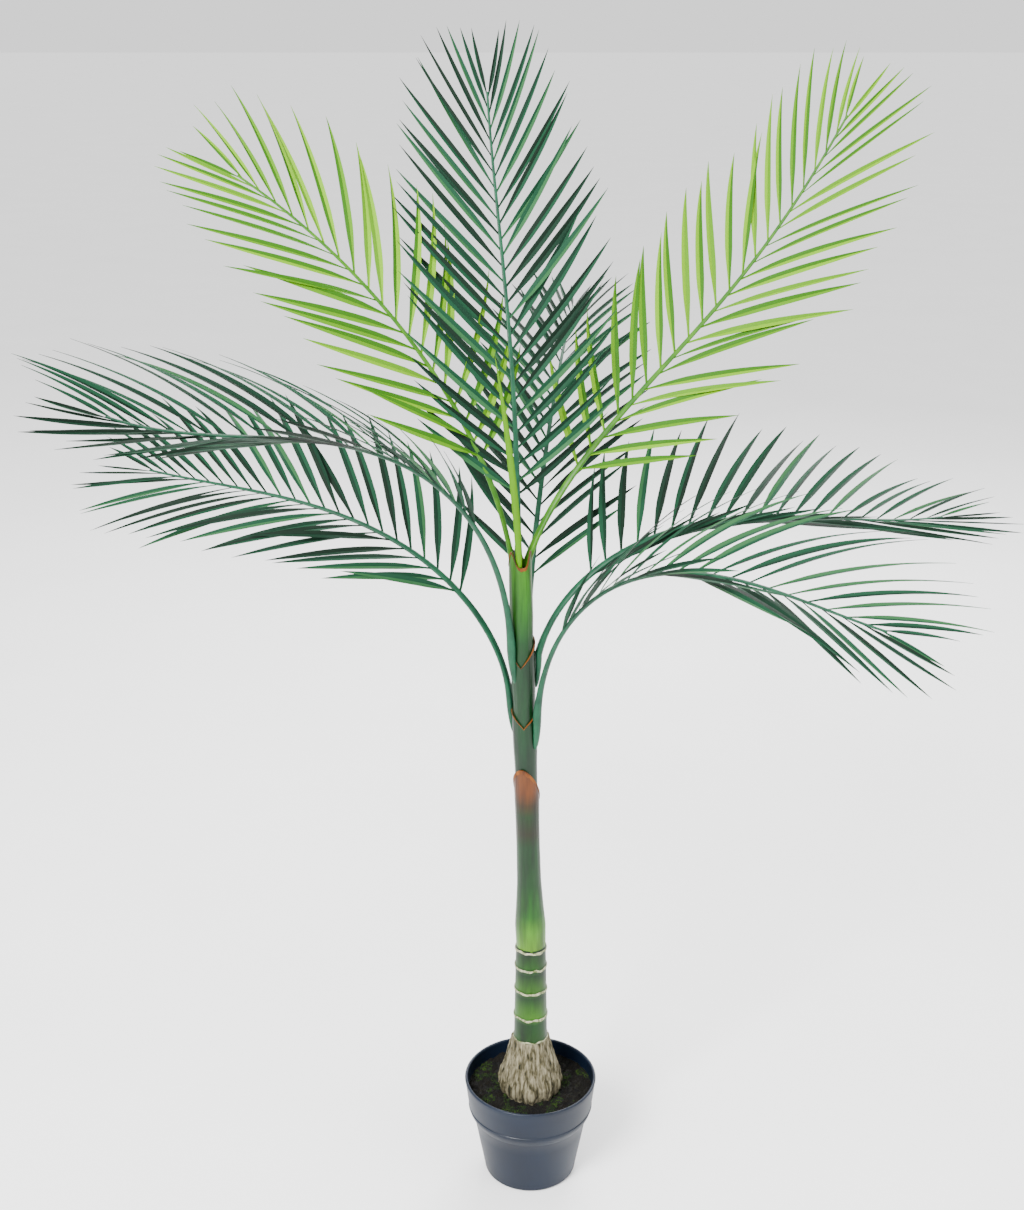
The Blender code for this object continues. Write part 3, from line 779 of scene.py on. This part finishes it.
@dataclass
class Trunk:
    """Root flare, ringed stem with its scars, and sheaths with orange edges."""

    segments: int = 160
    flare_levels: int = 44
    flare_sink: float = 0.002       # how far the foot runs down into the fill
    finger_twist: float = 12.0      # radians of turn per metre of height
    finger_round: float = 0.7       # under 1 for broad roots with narrow grooves
    finger_fade: float = 0.75       # share of the fingers' depth that is gone at the top
    fibre_twist: float = 40.0       # radians of turn per metre of height
    finger_depth: float = 0.050     # these five are shares of the flare's radius
    fibre_depth: float = 0.034
    lump_depth: float = 0.05
    grain_depth: float = 0.035
    shrinkage: float = 0.01
    stem_levels: int = 69
    stem_rise: float = 0.002        # how far its top runs up into the lowest sheath
    ring_swell: float = 0.0006      # how far the stem stands out under a scar
    ring_spread: float = 0.0022
    seam_azimuth: float = 4.75      # radians
    seam_width: float = 0.09        # radians
    seam_depth: float = 0.05        # share of the stem's radius
    scar_corners: int = 6
    scar_lift: float = 0.0002
    scar_height: float = 0.0017     # half height of a scar
    scar_uneven: float = 0.0011
    scar_wave: float = 0.0022       # how far it wanders up and down
    scar_depth: float = 0.0006
    sheath_levels: int = 56
    sheath_fold: float = 0.022      # share of the sheath's radius
    sheath_wall: float = 0.0009
    edge_swell: float = 1.012       # radius of the dried edge over the rim's
    # Share of the dried edge's width, from below, and how far out it stands there
    edge_layers: tuple = ((0.0, -0.0002), (0.0, 0.0004), (0.5, 0.0005), (1.0, 0.0006))
    edge_drops: tuple = (0.0, 0.0038)   # how far it runs down inside the rim
    edge_inside: float = 0.0011

    def ring(self, height: Callable[[float], float], radius: Callable[[float], float]) -> list:
        """A ring round the trunk.

        Args:
            height: Height of the ring as a function of the azimuth.
            radius: Its radius as a function of the azimuth.

        Returns:
            The ring's points.
        """
        made = []
        for step in range(self.segments):
            azimuth = math.tau * step / self.segments
            z, r = height(azimuth), radius(azimuth)
            made.append(axis_point(z) + Vector((r * math.cos(azimuth), r * math.sin(azimuth), 0)))
        return made

    def root_flare(self) -> None:
        """The ridged foot with its finger-like roots."""
        foot = SOIL_HEIGHT - self.flare_sink
        height = FLARE_PROFILE[-1][0] + self.flare_sink
        rows = []
        for level in range(self.flare_levels + 1):
            share = level / self.flare_levels
            rise = max(0.0, share * height - self.flare_sink)
            base = between(FLARE_PROFILE, rise)

            def ridged(azimuth: float, base: float = base, rise: float = rise) -> float:
                """Radius with ridges, fine fibres and an uneven foot.

                Args:
                    azimuth: The side, in radians.
                    base: Radius of the plain flare.
                    rise: Height over the fill.

                Returns:
                    The radius there.
                """
                fade = 1 - self.finger_fade * share
                fingers = math.sin(ROOT_RIDGES * azimuth + self.finger_twist * rise
                                   + 1.3 * math.sin(2 * azimuth))
                fibres = math.sin(FIBRES * azimuth + self.fibre_twist * rise
                                  + 2.2 * math.sin(3 * azimuth + 1))
                spot = Vector((math.cos(azimuth) * 3, math.sin(azimuth) * 3, rise * 18))
                rounded = abs(fingers) ** self.finger_round * math.copysign(1, fingers)
                return base * (1 + self.finger_depth * fade * rounded
                               + self.fibre_depth * (1 - abs(fibres))
                               + self.lump_depth * noise.noise(spot * 3)
                               + self.grain_depth * noise.noise(spot * 11) - self.shrinkage)

            rows.append(self.ring(lambda azimuth, share=share: foot + share * height, ridged))
        bag = MeshBag()
        bag.tube(rows)
        dress(bag.build("fibrous_root_flare", 75), BARK_FINISH.build(), Slot.ROOT, ("root_flare",))

    def stem_radius(self, height: float) -> float:
        """Radius of the plain tapering stem at a height."""
        share = (height - STEM_FOOT) / (STEM_TOP - STEM_FOOT)
        return STEM_FOOT_RADIUS + (STEM_TOP_RADIUS - STEM_FOOT_RADIUS) * share

    def stem(self) -> None:
        """The bare stem and the whitish scars round it."""
        rows = []
        for level in range(self.stem_levels + 1):
            rise = (STEM_TOP + self.stem_rise - STEM_FOOT) * level / self.stem_levels
            height = STEM_FOOT + rise
            near = min(abs(height - mark) for mark in RING_HEIGHTS)
            swell = self.ring_swell * math.exp(-(near / self.ring_spread) ** 2)
            base = self.stem_radius(height) + swell

            def seamed(azimuth: float, base: float = base) -> float:
                """Radius with a shallow upright seam."""
                away = (azimuth - self.seam_azimuth) / self.seam_width
                return base * (1 - self.seam_depth * math.exp(-away ** 2))

            rows.append(self.ring(lambda azimuth, height=height: height, seamed))
        bag = MeshBag()
        bag.tube(rows)
        dress(bag.build("green_ringed_stem", 75), STEM_FINISH.build(), Slot.STEM, ("ringed_stem",))
        scars = MeshBag()
        for number, mark in enumerate(RING_HEIGHTS):
            self.scar(scars, mark, self.stem_radius(mark) + self.scar_lift, number)
        dress(scars.build("ring_scars", 75), SCAR_FINISH.build(), Slot.STEM, ("ringed_stem",))

    def scar(self, bag: MeshBag, mark: float, radius: float, number: int) -> None:
        """Adds one irregular ring.

        Args:
            bag: Where it goes.
            mark: Its height.
            radius: The stem's radius there.
            number: Its place in the row, which seeds its waves.
        """
        sections = []
        for turn in range(self.scar_corners):
            angle = math.tau * turn / self.scar_corners

            def level(azimuth: float, angle: float = angle) -> float:
                """Height of this corner of the section, waving round the stem.

                Args:
                    azimuth: The side, in radians.
                    angle: The corner's turn about the section's middle.

                Returns:
                    The height there.
                """
                wave = noise.noise(Vector((math.cos(azimuth), math.sin(azimuth), number)) * 2.2)
                wide = self.scar_height + self.scar_uneven * noise.noise(
                    Vector((math.cos(azimuth), math.sin(azimuth), number + 5)) * 4)
                return mark + self.scar_wave * wave + wide * math.sin(angle)

            sections.append(self.ring(level, lambda azimuth, angle=angle:
                                      radius + self.scar_depth * (1 + math.cos(angle))))
        sections.append(sections[0])
        bag.grid(sections, closed=True, flip=True)

    def sheath(self, sheath: Sheath) -> None:
        """Builds one sleeve with creases, its hollow rim and its orange edge.

        Args:
            sheath: The sleeve of the source.
        """
        def creased(azimuth: float, height: float, top: float) -> float:
            """Outer radius with shallow upright creases."""
            fold = noise.noise(Vector((math.cos(azimuth) * 4, math.sin(azimuth) * 4, height * 6)))
            return sheath.radius(top, height) * (1 + self.sheath_fold * fold)

        foot = sheath.profile[0][0]
        rows = []
        for level in range(self.sheath_levels + 1):
            share = level / self.sheath_levels

            def height_at(azimuth: float, share: float = share) -> float:
                """Height of this level on one side."""
                return foot + (sheath.rim(azimuth) - foot) * share

            rows.append(self.ring(height_at, lambda azimuth, height_at=height_at: creased(
                azimuth, height_at(azimuth), sheath.rim(azimuth))))
        inner = sheath.rim_radius - self.sheath_wall
        rows.append(self.ring(sheath.rim, lambda azimuth: inner))
        rows.append(self.ring(lambda azimuth: sheath.rim_low - CUP_DEPTH, lambda azimuth: inner))
        bag = MeshBag()
        bag.tube(rows)
        look = Finish(sheath.name + "_green", ("828282", "CCCCCC", "FFFFFF"), 0.42, size=110.0,
                      stretch=0.10, contrast=(0.30, 0.72), bump=0.45, depth=0.0007, coat=0.08,
                      bands=sheath.bands).build()
        dress(bag.build(sheath.name + "_sleeve", 60), look, Slot.SHEATH, (sheath.name,))
        self.edge(sheath)

    def edge(self, sheath: Sheath) -> None:
        """Builds the dried orange-brown edge that follows a sheath's rim.

        Args:
            sheath: The sheath that it borders.
        """
        def width(azimuth: float) -> float:
            """How far the dried edge comes down on one side."""
            ragged = noise.noise(Vector((math.cos(azimuth), math.sin(azimuth), 7)) * 5)
            share = 0.25 + 0.75 * sheath.swing(azimuth)
            return sheath.edge_width * share * (1 + 0.4 * ragged)

        rows = []
        for share, lift in self.edge_layers:
            rows.append(self.ring(
                lambda azimuth, share=share: sheath.rim(azimuth) - width(azimuth) * (1 - share),
                lambda azimuth, lift=lift: sheath.rim_radius * self.edge_swell + lift))
        for drop in self.edge_drops:
            rows.append(self.ring(
                lambda azimuth, drop=drop: sheath.rim(azimuth) - drop,
                lambda azimuth: sheath.rim_radius - self.edge_inside))
        bag = MeshBag()
        bag.grid(rows, closed=True)
        dress(bag.build(sheath.name + "_dried_edge", 60), EDGE_FINISH.build(), Slot.SHEATH,
              (sheath.name,))

    def build(self) -> None:
        """Builds the trunk from its foot up."""
        self.root_flare()
        self.stem()
        for sheath in SHEATHS:
            self.sheath(sheath)


def sheath_radius(height: float, azimuth: float) -> float:
    """Outer radius of the sheaths that a petiole's foot stands against.

    Args:
        height: Height of the foot.
        azimuth: Its side, in degrees.

    Returns:
        The widest sheath's radius over the foot's spread.
    """
    widest = 0.0
    for sheath in SHEATHS:
        for turn in (-FOOT_SPREAD, 0, FOOT_SPREAD):
            top = sheath.rim(math.radians(azimuth + turn))
            if sheath.profile[0][0] <= height <= top:
                widest = max(widest, sheath.radius(top, height))
    return widest


class Rib:
    """The curve of a frond's rib, with the frame of its blade along it, as in the source."""

    def __init__(self, frond: Frond) -> None:
        """Walks the rib from its foot to its tip.

        Args:
            frond: The frond of the source.
        """
        self.frond = frond
        azimuth = math.radians(frond.azimuth)
        self.outward = Vector((math.cos(azimuth), math.sin(azimuth), 0))
        self.side = Vector((-math.sin(azimuth), math.cos(azimuth), 0))
        room = frond.rib * RIB_DEPTH + GAP
        offset = frond.inset or sheath_radius(frond.height, frond.azimuth) + room
        point = axis_point(frond.height) + self.outward * offset
        self.points = [point]
        for step in range(RIB_STEPS):
            point = point + self.tangent((step + 0.5) / RIB_STEPS) * frond.length / RIB_STEPS
            self.points.append(point)

    def lean(self, share: float) -> float:
        """Lean from the vertical, on the cubic through the frond's four stations.

        Args:
            share: The place on the rib, from 0 to 1.

        Returns:
            The lean in radians.
        """
        total = 0.0
        for index, value in enumerate(self.frond.leans):
            weight = 1.0
            for other in range(4):
                if other != index:
                    weight *= (share * 3 - other) / (index - other)
            total += value * weight
        return math.radians(total)

    def tangent(self, share: float) -> Vector:
        """Direction of the rib at a share of its length."""
        lean = self.lean(share)
        return self.outward * math.sin(lean) + Vector((0, 0, math.cos(lean)))

    def point(self, share: float) -> Vector:
        """Place on the rib at a share of its length."""
        place = min(max(share, 0.0), 1.0) * RIB_STEPS
        low = min(int(place), RIB_STEPS - 1)
        return self.points[low].lerp(self.points[low + 1], place - low)

    def roll(self, share: float) -> float:
        """Turn of the blade about the rib.

        Args:
            share: The place on the rib, from 0 to 1.

        Returns:
            The turn in degrees.
        """
        first, last = self.frond.roll
        bare = self.frond.bare
        if share <= bare:
            return first * (1 - math.cos(math.pi * share / bare)) / 2
        return first + (last - first) * (share - bare) / (1 - bare)

    def frame(self, share: float) -> tuple[Vector, Vector, Vector]:
        """Directions of the blade.

        Args:
            share: The place on the rib, from 0 to 1.

        Returns:
            Along the rib, across the blade and out of its upper face.
        """
        ahead = self.tangent(share)
        face = ahead.cross(self.side)
        roll = math.radians(self.roll(share))
        across = self.side * math.cos(roll) + face * math.sin(roll)
        return ahead, across, ahead.cross(across)

    def half_width(self, share: float) -> float:
        """Half width of the rib."""
        return self.frond.rib + (RIB_TIP - self.frond.rib) * share ** 0.8

    def ring(self, share: float, scale: float = 1.0, sides: int = 12) -> list:
        """A section of the rib, with a shallow channel along its upper face.

        Args:
            share: The place on the rib, from 0 to 1.
            scale: Its width over the rule's.
            sides: How many points it has.

        Returns:
            The section's points.
        """
        centre = self.point(share)
        _, across, face = self.frame(share)
        wide = self.half_width(share) * scale
        made = []
        for step in range(sides):
            angle = math.tau * step / sides
            channel = 1 - RIB_CHANNEL * max(0.0, math.sin(angle)) ** 3
            made.append(centre + across * wide * math.cos(angle) * RIB_SWELL
                        + face * wide * RIB_DEPTH * math.sin(angle) * channel * RIB_SWELL)
        return made


def leaflet_length(place: float) -> float:
    """Share of the longest leaflet's length at a place from the blade's foot to its tip."""
    if place < 0.38:
        return 0.78 + 0.22 * math.sin(math.pi / 2 * place / 0.38)
    return 0.40 + 0.60 * (1 - ((place - 0.38) / 0.62) ** 5)


def leaflet_width(place: float) -> float:
    """Full width of a leaflet at a place on the blade."""
    return LEAFLET_WIDTH * (1 - 0.48 * max(0.0, (place - 0.45) / 0.55))


def leaflet_angle(place: float) -> float:
    """Angle in degrees between rib and leaflet at a place on the blade."""
    if place < 0.4:
        return 54 - 11 * place / 0.4
    return 43 - 29 * ((place - 0.4) / 0.6) ** 2.2


@dataclass
class Leaflet:
    """One leaflet as it leaves the rib, with its own small differences."""

    share: float
    side: int
    length: float
    width: float
    angle: float
    rise: float
    twist: float


def frond_leaflets(frond: Frond, seed: int) -> list[Leaflet]:
    """The leaflets of a frond from foot to tip, by the source's rule.

    Args:
        frond: The frond of the source.
        seed: Its seed, so that the leaflets fall where the source has them.

    Returns:
        The leaflets, nearly in pairs.
    """
    rng = random.Random(seed)
    leaflets = []
    for index in range(frond.pairs):
        for side in (-1, 1):
            place = min(1.0, max(0.0, (index + 0.15 * side) / (frond.pairs - 1)))
            share = frond.bare + (0.995 - frond.bare) * place
            length = frond.leaflet * leaflet_length(place) * rng.uniform(0.95, 1.05)
            opening = frond.spread[0] if side < 0 else frond.spread[1]
            angle = leaflet_angle(place) * opening + rng.uniform(-2.5, 2.5)
            rise = rng.uniform(-5, 5)
            twist = rng.uniform(-14, 14)
            if rng.random() < 0.12:
                angle -= 6
            leaflets.append(Leaflet(share, side, length, leaflet_width(place), angle, rise, twist))
    return leaflets


@dataclass
class Crown:
    """All fronds: petioles and ribs, fine leaflets by tint, and the unopened spear leaf."""

    bags: dict = field(default_factory=dict)
    fold: float = 0.55          # keel of a fine leaflet over the source's
    slimness: float = 0.47      # half width of a fine leaflet over the source's full width
    root_width: float = 0.26    # share of the width where a leaflet leaves the rib
    widened: float = 0.30       # share of the length where it has its full width
    tapering: float = 0.42      # share of the length where it starts to taper
    taper: float = 1.8
    least_width: float = 0.00008
    tail: float = 0.045         # how far a petiole's clasping foot runs down the sheath
    tail_rings: int = 8
    tail_width: float = 0.30    # width of the foot's lower end over its upper end
    tail_inset: float = 0.9     # how far its lower end sinks in, over the rib's half width
    foot_swell: float = 0.25
    swell_reach: float = 0.045  # share of the rib over which the swollen foot slims
    stalk_rings: int = 60
    facing: float = -0.55       # leaflets that point further than this to the shown side sweep
    spear_rings: int = 30
    pleat: float = 0.86

    def bag(self, name: str) -> MeshBag:
        """The named bag, made when first asked for."""
        return self.bags.setdefault(name, MeshBag())

    def path(self, rib: Rib, leaflet: Leaflet) -> list:
        """Points along a leaflet's midrib with the directions along it and off its face.

        Args:
            rib: The rib that it grows from.
            leaflet: The leaflet.

        Returns:
            A (point, along, normal) entry for each station.
        """
        ahead, across, face = rib.frame(leaflet.share)
        outward = across * leaflet.side
        point = rib.point(leaflet.share) + outward * rib.half_width(leaflet.share) * 0.5
        root_rise, tip_rise = rib.frond.arch
        stations = []
        for step in range(LEAFLET_STEPS):
            share = (step + 0.5) / LEAFLET_STEPS
            angle = math.radians(leaflet.angle - 6 * share)
            rise = math.radians(root_rise + (tip_rise - root_rise) * share + leaflet.rise)
            open_way = outward * math.cos(rise) + face * math.sin(rise)
            along = ahead * math.cos(angle) + open_way * math.sin(angle)
            normal = face * math.cos(rise) - outward * math.sin(rise)
            normal = (normal - along * normal.dot(along)).normalized()
            turn = math.radians(leaflet.twist * (1 + share))
            normal = normal * math.cos(turn) + along.cross(normal) * math.sin(turn)
            if step == 0:
                stations.append((point, along, normal))
            point = point + along * leaflet.length / LEAFLET_STEPS
            stations.append((point, along, normal))
        return stations

    def add_leaflet(self, rib: Rib, leaflet: Leaflet, tints: tuple) -> None:
        """Adds a creased lance whose two halves have a tint each: painted light on one half,
        painted shade on the other.

        Args:
            rib: The rib that it grows from.
            leaflet: The leaflet.
            tints: Its two tints, the lighter one for painted light and the darker one for painted
                shade.
        """
        stations = self.path(rib, leaflet)
        # One half takes the painted light tint and the other the painted shade tint.
        for half, tint in zip((-1, 1), tints):
            rows = []
            for number, (point, along, normal) in enumerate(stations):
                share = number / LEAFLET_STEPS
                opened = self.root_width + (1 - self.root_width) * eased(share / self.widened)
                ending = max(0.0, (share - self.tapering) / (1 - self.tapering))
                wide = opened * (1 - ending ** self.taper)
                reach = leaflet.width * self.slimness * wide + self.least_width
                keel = LEAFLET_KEEL * self.fold * (0.25 + wide)
                cross = along.cross(normal) * half
                rows.append([point - normal * keel,
                             point + cross * reach * 0.5 - normal * keel * 0.40,
                             point + cross * reach - normal * keel * 0.05])
            self.bag(tint.value.name).grid(rows, flip=half < 0)

    def add_stalk(self, rib: Rib) -> None:
        """Adds a frond's petiole and rib as one channelled stalk with a clasping foot.

        Args:
            rib: The frond's rib.
        """
        rows = []
        first = rib.ring(0.0, 1 + self.foot_swell)
        foot = rib.point(0.0)
        for step in range(self.tail_rings):
            rise = step / self.tail_rings
            slip = axis_point(foot.z - self.tail * (1 - rise)) - axis_point(foot.z)
            centre = foot + slip - rib.outward * rib.frond.rib * self.tail_inset * (1 - rise) ** 2
            width = self.tail_width + (1 - self.tail_width) * math.sqrt(rise)
            rows.append([centre + (point - foot) * width for point in first])
        for step in range(self.stalk_rings + 1):
            share = step / self.stalk_rings
            swell = self.foot_swell * math.exp(-(share / self.swell_reach) ** 2)
            rows.append(rib.ring(share, 1.0 + swell))
        self.bag("stalks_pale" if rib.frond.pale else "stalks_dark").tube(rows)

    def add_spear(self) -> None:
        """Adds the youngest leaf, folded to a slim pleated spear."""
        rib = Rib(SPEAR)
        rows = []
        for step in range(self.spear_rings + 1):
            share = step / self.spear_rings
            swell = (0.85 + 0.2 * math.sin(math.pi * share)) * (1 - share ** 3) + 0.03
            slip = Vector((SPEAR_LEAN * share ** 1.5 * SPEAR.length, 0, 0))
            centre = rib.point(share)
            ring = rib.ring(share, SPEAR.rib * swell / rib.half_width(share), 18)
            rows.append([centre + (point - centre) * (self.pleat if number % 3 == 0 else 1.0) + slip
                         for number, point in enumerate(ring)])
        self.bag("spear").tube(rows)

    def build(self) -> None:
        """Builds every frond, then dresses each kind of piece."""
        for number, frond in enumerate(FRONDS):
            rib = Rib(frond)
            self.add_stalk(rib)
            deal = random.Random(SEED * 7 + number)
            for leaflet in frond_leaflets(frond, SEED + number):
                # A lighter and a darker tint, painted light and painted shade on the two halves of
                # the leaflet's crease. The pair is turned over for the other side of the rib, so
                # the halves are mirrored.
                lit_shaded_pair = deal.choice(PALE_LIT_SHADED_PAIRS if frond.pale else DARK_LIT_SHADED_PAIRS)
                _, across, _ = rib.frame(leaflet.share)
                if across.y * leaflet.side < self.facing:
                    foot, tip = frond.sweep
                    place = (leaflet.share - frond.bare) / (1 - frond.bare)
                    leaflet.angle *= foot + (tip - foot) * place
                self.add_leaflet(rib, leaflet, lit_shaded_pair if leaflet.side > 0 else lit_shaded_pair[::-1])
        self.add_spear()
        stalks = {pale: tuple("petiole_" + frond.name for frond in FRONDS if frond.pale == pale)
                  for pale in (True, False)}
        blades = {pale: tuple(f"frond_{frond.name}_{part}" for frond in FRONDS
                              if frond.pale == pale for part in ("inner", "outer"))
                  for pale in (True, False)}
        for tint in Tint:
            pale = tint.name.startswith("PALE")
            dress(self.bag(tint.value.name).build("leaflets_" + tint.name.lower(), 70),
                  tint.value.build(), Slot.PALE if pale else Slot.DARK, blades[pale])
        dress(self.bag("stalks_dark").build("stalks_dark"), DARK_RIB_FINISH.build(), Slot.DARK,
              stalks[False] + blades[False])
        dress(self.bag("stalks_pale").build("stalks_pale"), PALE_RIB_FINISH.build(), Slot.PALE,
              stalks[True] + blades[True])
        dress(self.bag("spear").build("pleated_spear"), Tint.PALE_MIDDLE.value.build(), Slot.PALE,
              ("spear_leaf",))


@dataclass(frozen=True)
class SoftLight:
    """One studio light."""

    name: str
    place: tuple
    size: float
    watts: float
    target: tuple = (0, 0, 0.75)

    def build(self) -> None:
        """Adds the light, aimed at the middle of the plant."""
        data = bpy.data.lights.new(self.name, "AREA")
        data.energy = self.watts
        data.size = self.size
        lamp = bpy.data.objects.new(self.name, data)
        lamp.location = self.place
        aim = Vector(self.target) - Vector(self.place)
        lamp.rotation_euler = aim.to_track_quat("-Z", "Y").to_euler()
        bpy.context.scene.collection.objects.link(lamp)


@dataclass(frozen=True)
class Daylight:
    """One broad, soft sun."""

    strength: float = 1.3
    softness: float = 35.0      # degrees that it spans
    tilt: float = 38.0          # degrees from overhead
    turn: float = -30.0         # degrees about the upright axis

    def build(self) -> None:
        """Adds the sun."""
        data = bpy.data.lights.new("soft_daylight", "SUN")
        data.energy = self.strength
        data.angle = math.radians(self.softness)
        sun = bpy.data.objects.new("soft_daylight", data)
        sun.rotation_euler = (math.radians(self.tilt), 0, math.radians(self.turn))
        bpy.context.scene.collection.objects.link(sun)


@dataclass
class Studio:
    """Camera, pale floor and soft light."""

    lights: tuple = (SoftLight("key", (-1.6, -2.4, 3.0), 1.3, 300),
                     SoftLight("fill", (2.6, -1.6, 1.8), 2.2, 70),
                     SoftLight("back", (0.6, 2.4, 2.8), 2.0, 170))
    daylight: Daylight = Daylight()
    sky: float = 1.3
    floor_side: float = 80.0

    def add_camera(self) -> None:
        """Adds the camera of the photograph."""
        data = bpy.data.cameras.new("photograph_view")
        data.lens = CAMERA_LENS_MM
        data.sensor_width = CAMERA_LONG_SIDE_MM
        camera = bpy.data.objects.new("photograph_view", data)
        camera.location = CAMERA_PLACE
        camera.rotation_euler = (math.radians(90 - CAMERA_PITCH_DOWN), 0, 0)
        bpy.context.scene.collection.objects.link(camera)
        bpy.context.scene.camera = camera

    def add_floor(self) -> None:
        """Adds the pale floor, which isn't part of the palm."""
        bpy.ops.object.select_all(action="DESELECT")
        bpy.ops.mesh.primitive_plane_add(size=self.floor_side, location=(0, 0, 0))
        floor = bpy.context.active_object
        floor.name = "studio_floor"
        floor.data.materials.append(FLOOR_FINISH.build())
        floor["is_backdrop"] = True

    def build(self) -> None:
        """Sets up the view of the photograph."""
        self.add_camera()
        self.add_floor()
        world = bpy.data.worlds.new("studio_sky")
        world.use_nodes = True
        world.node_tree.nodes["Background"].inputs["Color"].default_value = (1, 1, 1, 1)
        world.node_tree.nodes["Background"].inputs["Strength"].default_value = self.sky
        bpy.context.scene.world = world
        for light in self.lights:
            light.build()
        self.daylight.build()


def corners(box: tuple) -> list:
    """The two corners of a box as plain lists."""
    return [list(corner) for corner in box]


def main() -> None:
    """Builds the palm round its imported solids."""
    logging.basicConfig(level=logging.INFO)
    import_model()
    cad_box = corners(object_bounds())
    make_mottle_group()
    Studio().build()
    NurseryPot().build()
    PotFill().build()
    Trunk().build()
    Crown().build()
    bpy.context.view_layer.update()
    {"cad": cad_box, "visual": corners(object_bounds())}


if __name__ == "__main__":
    main()
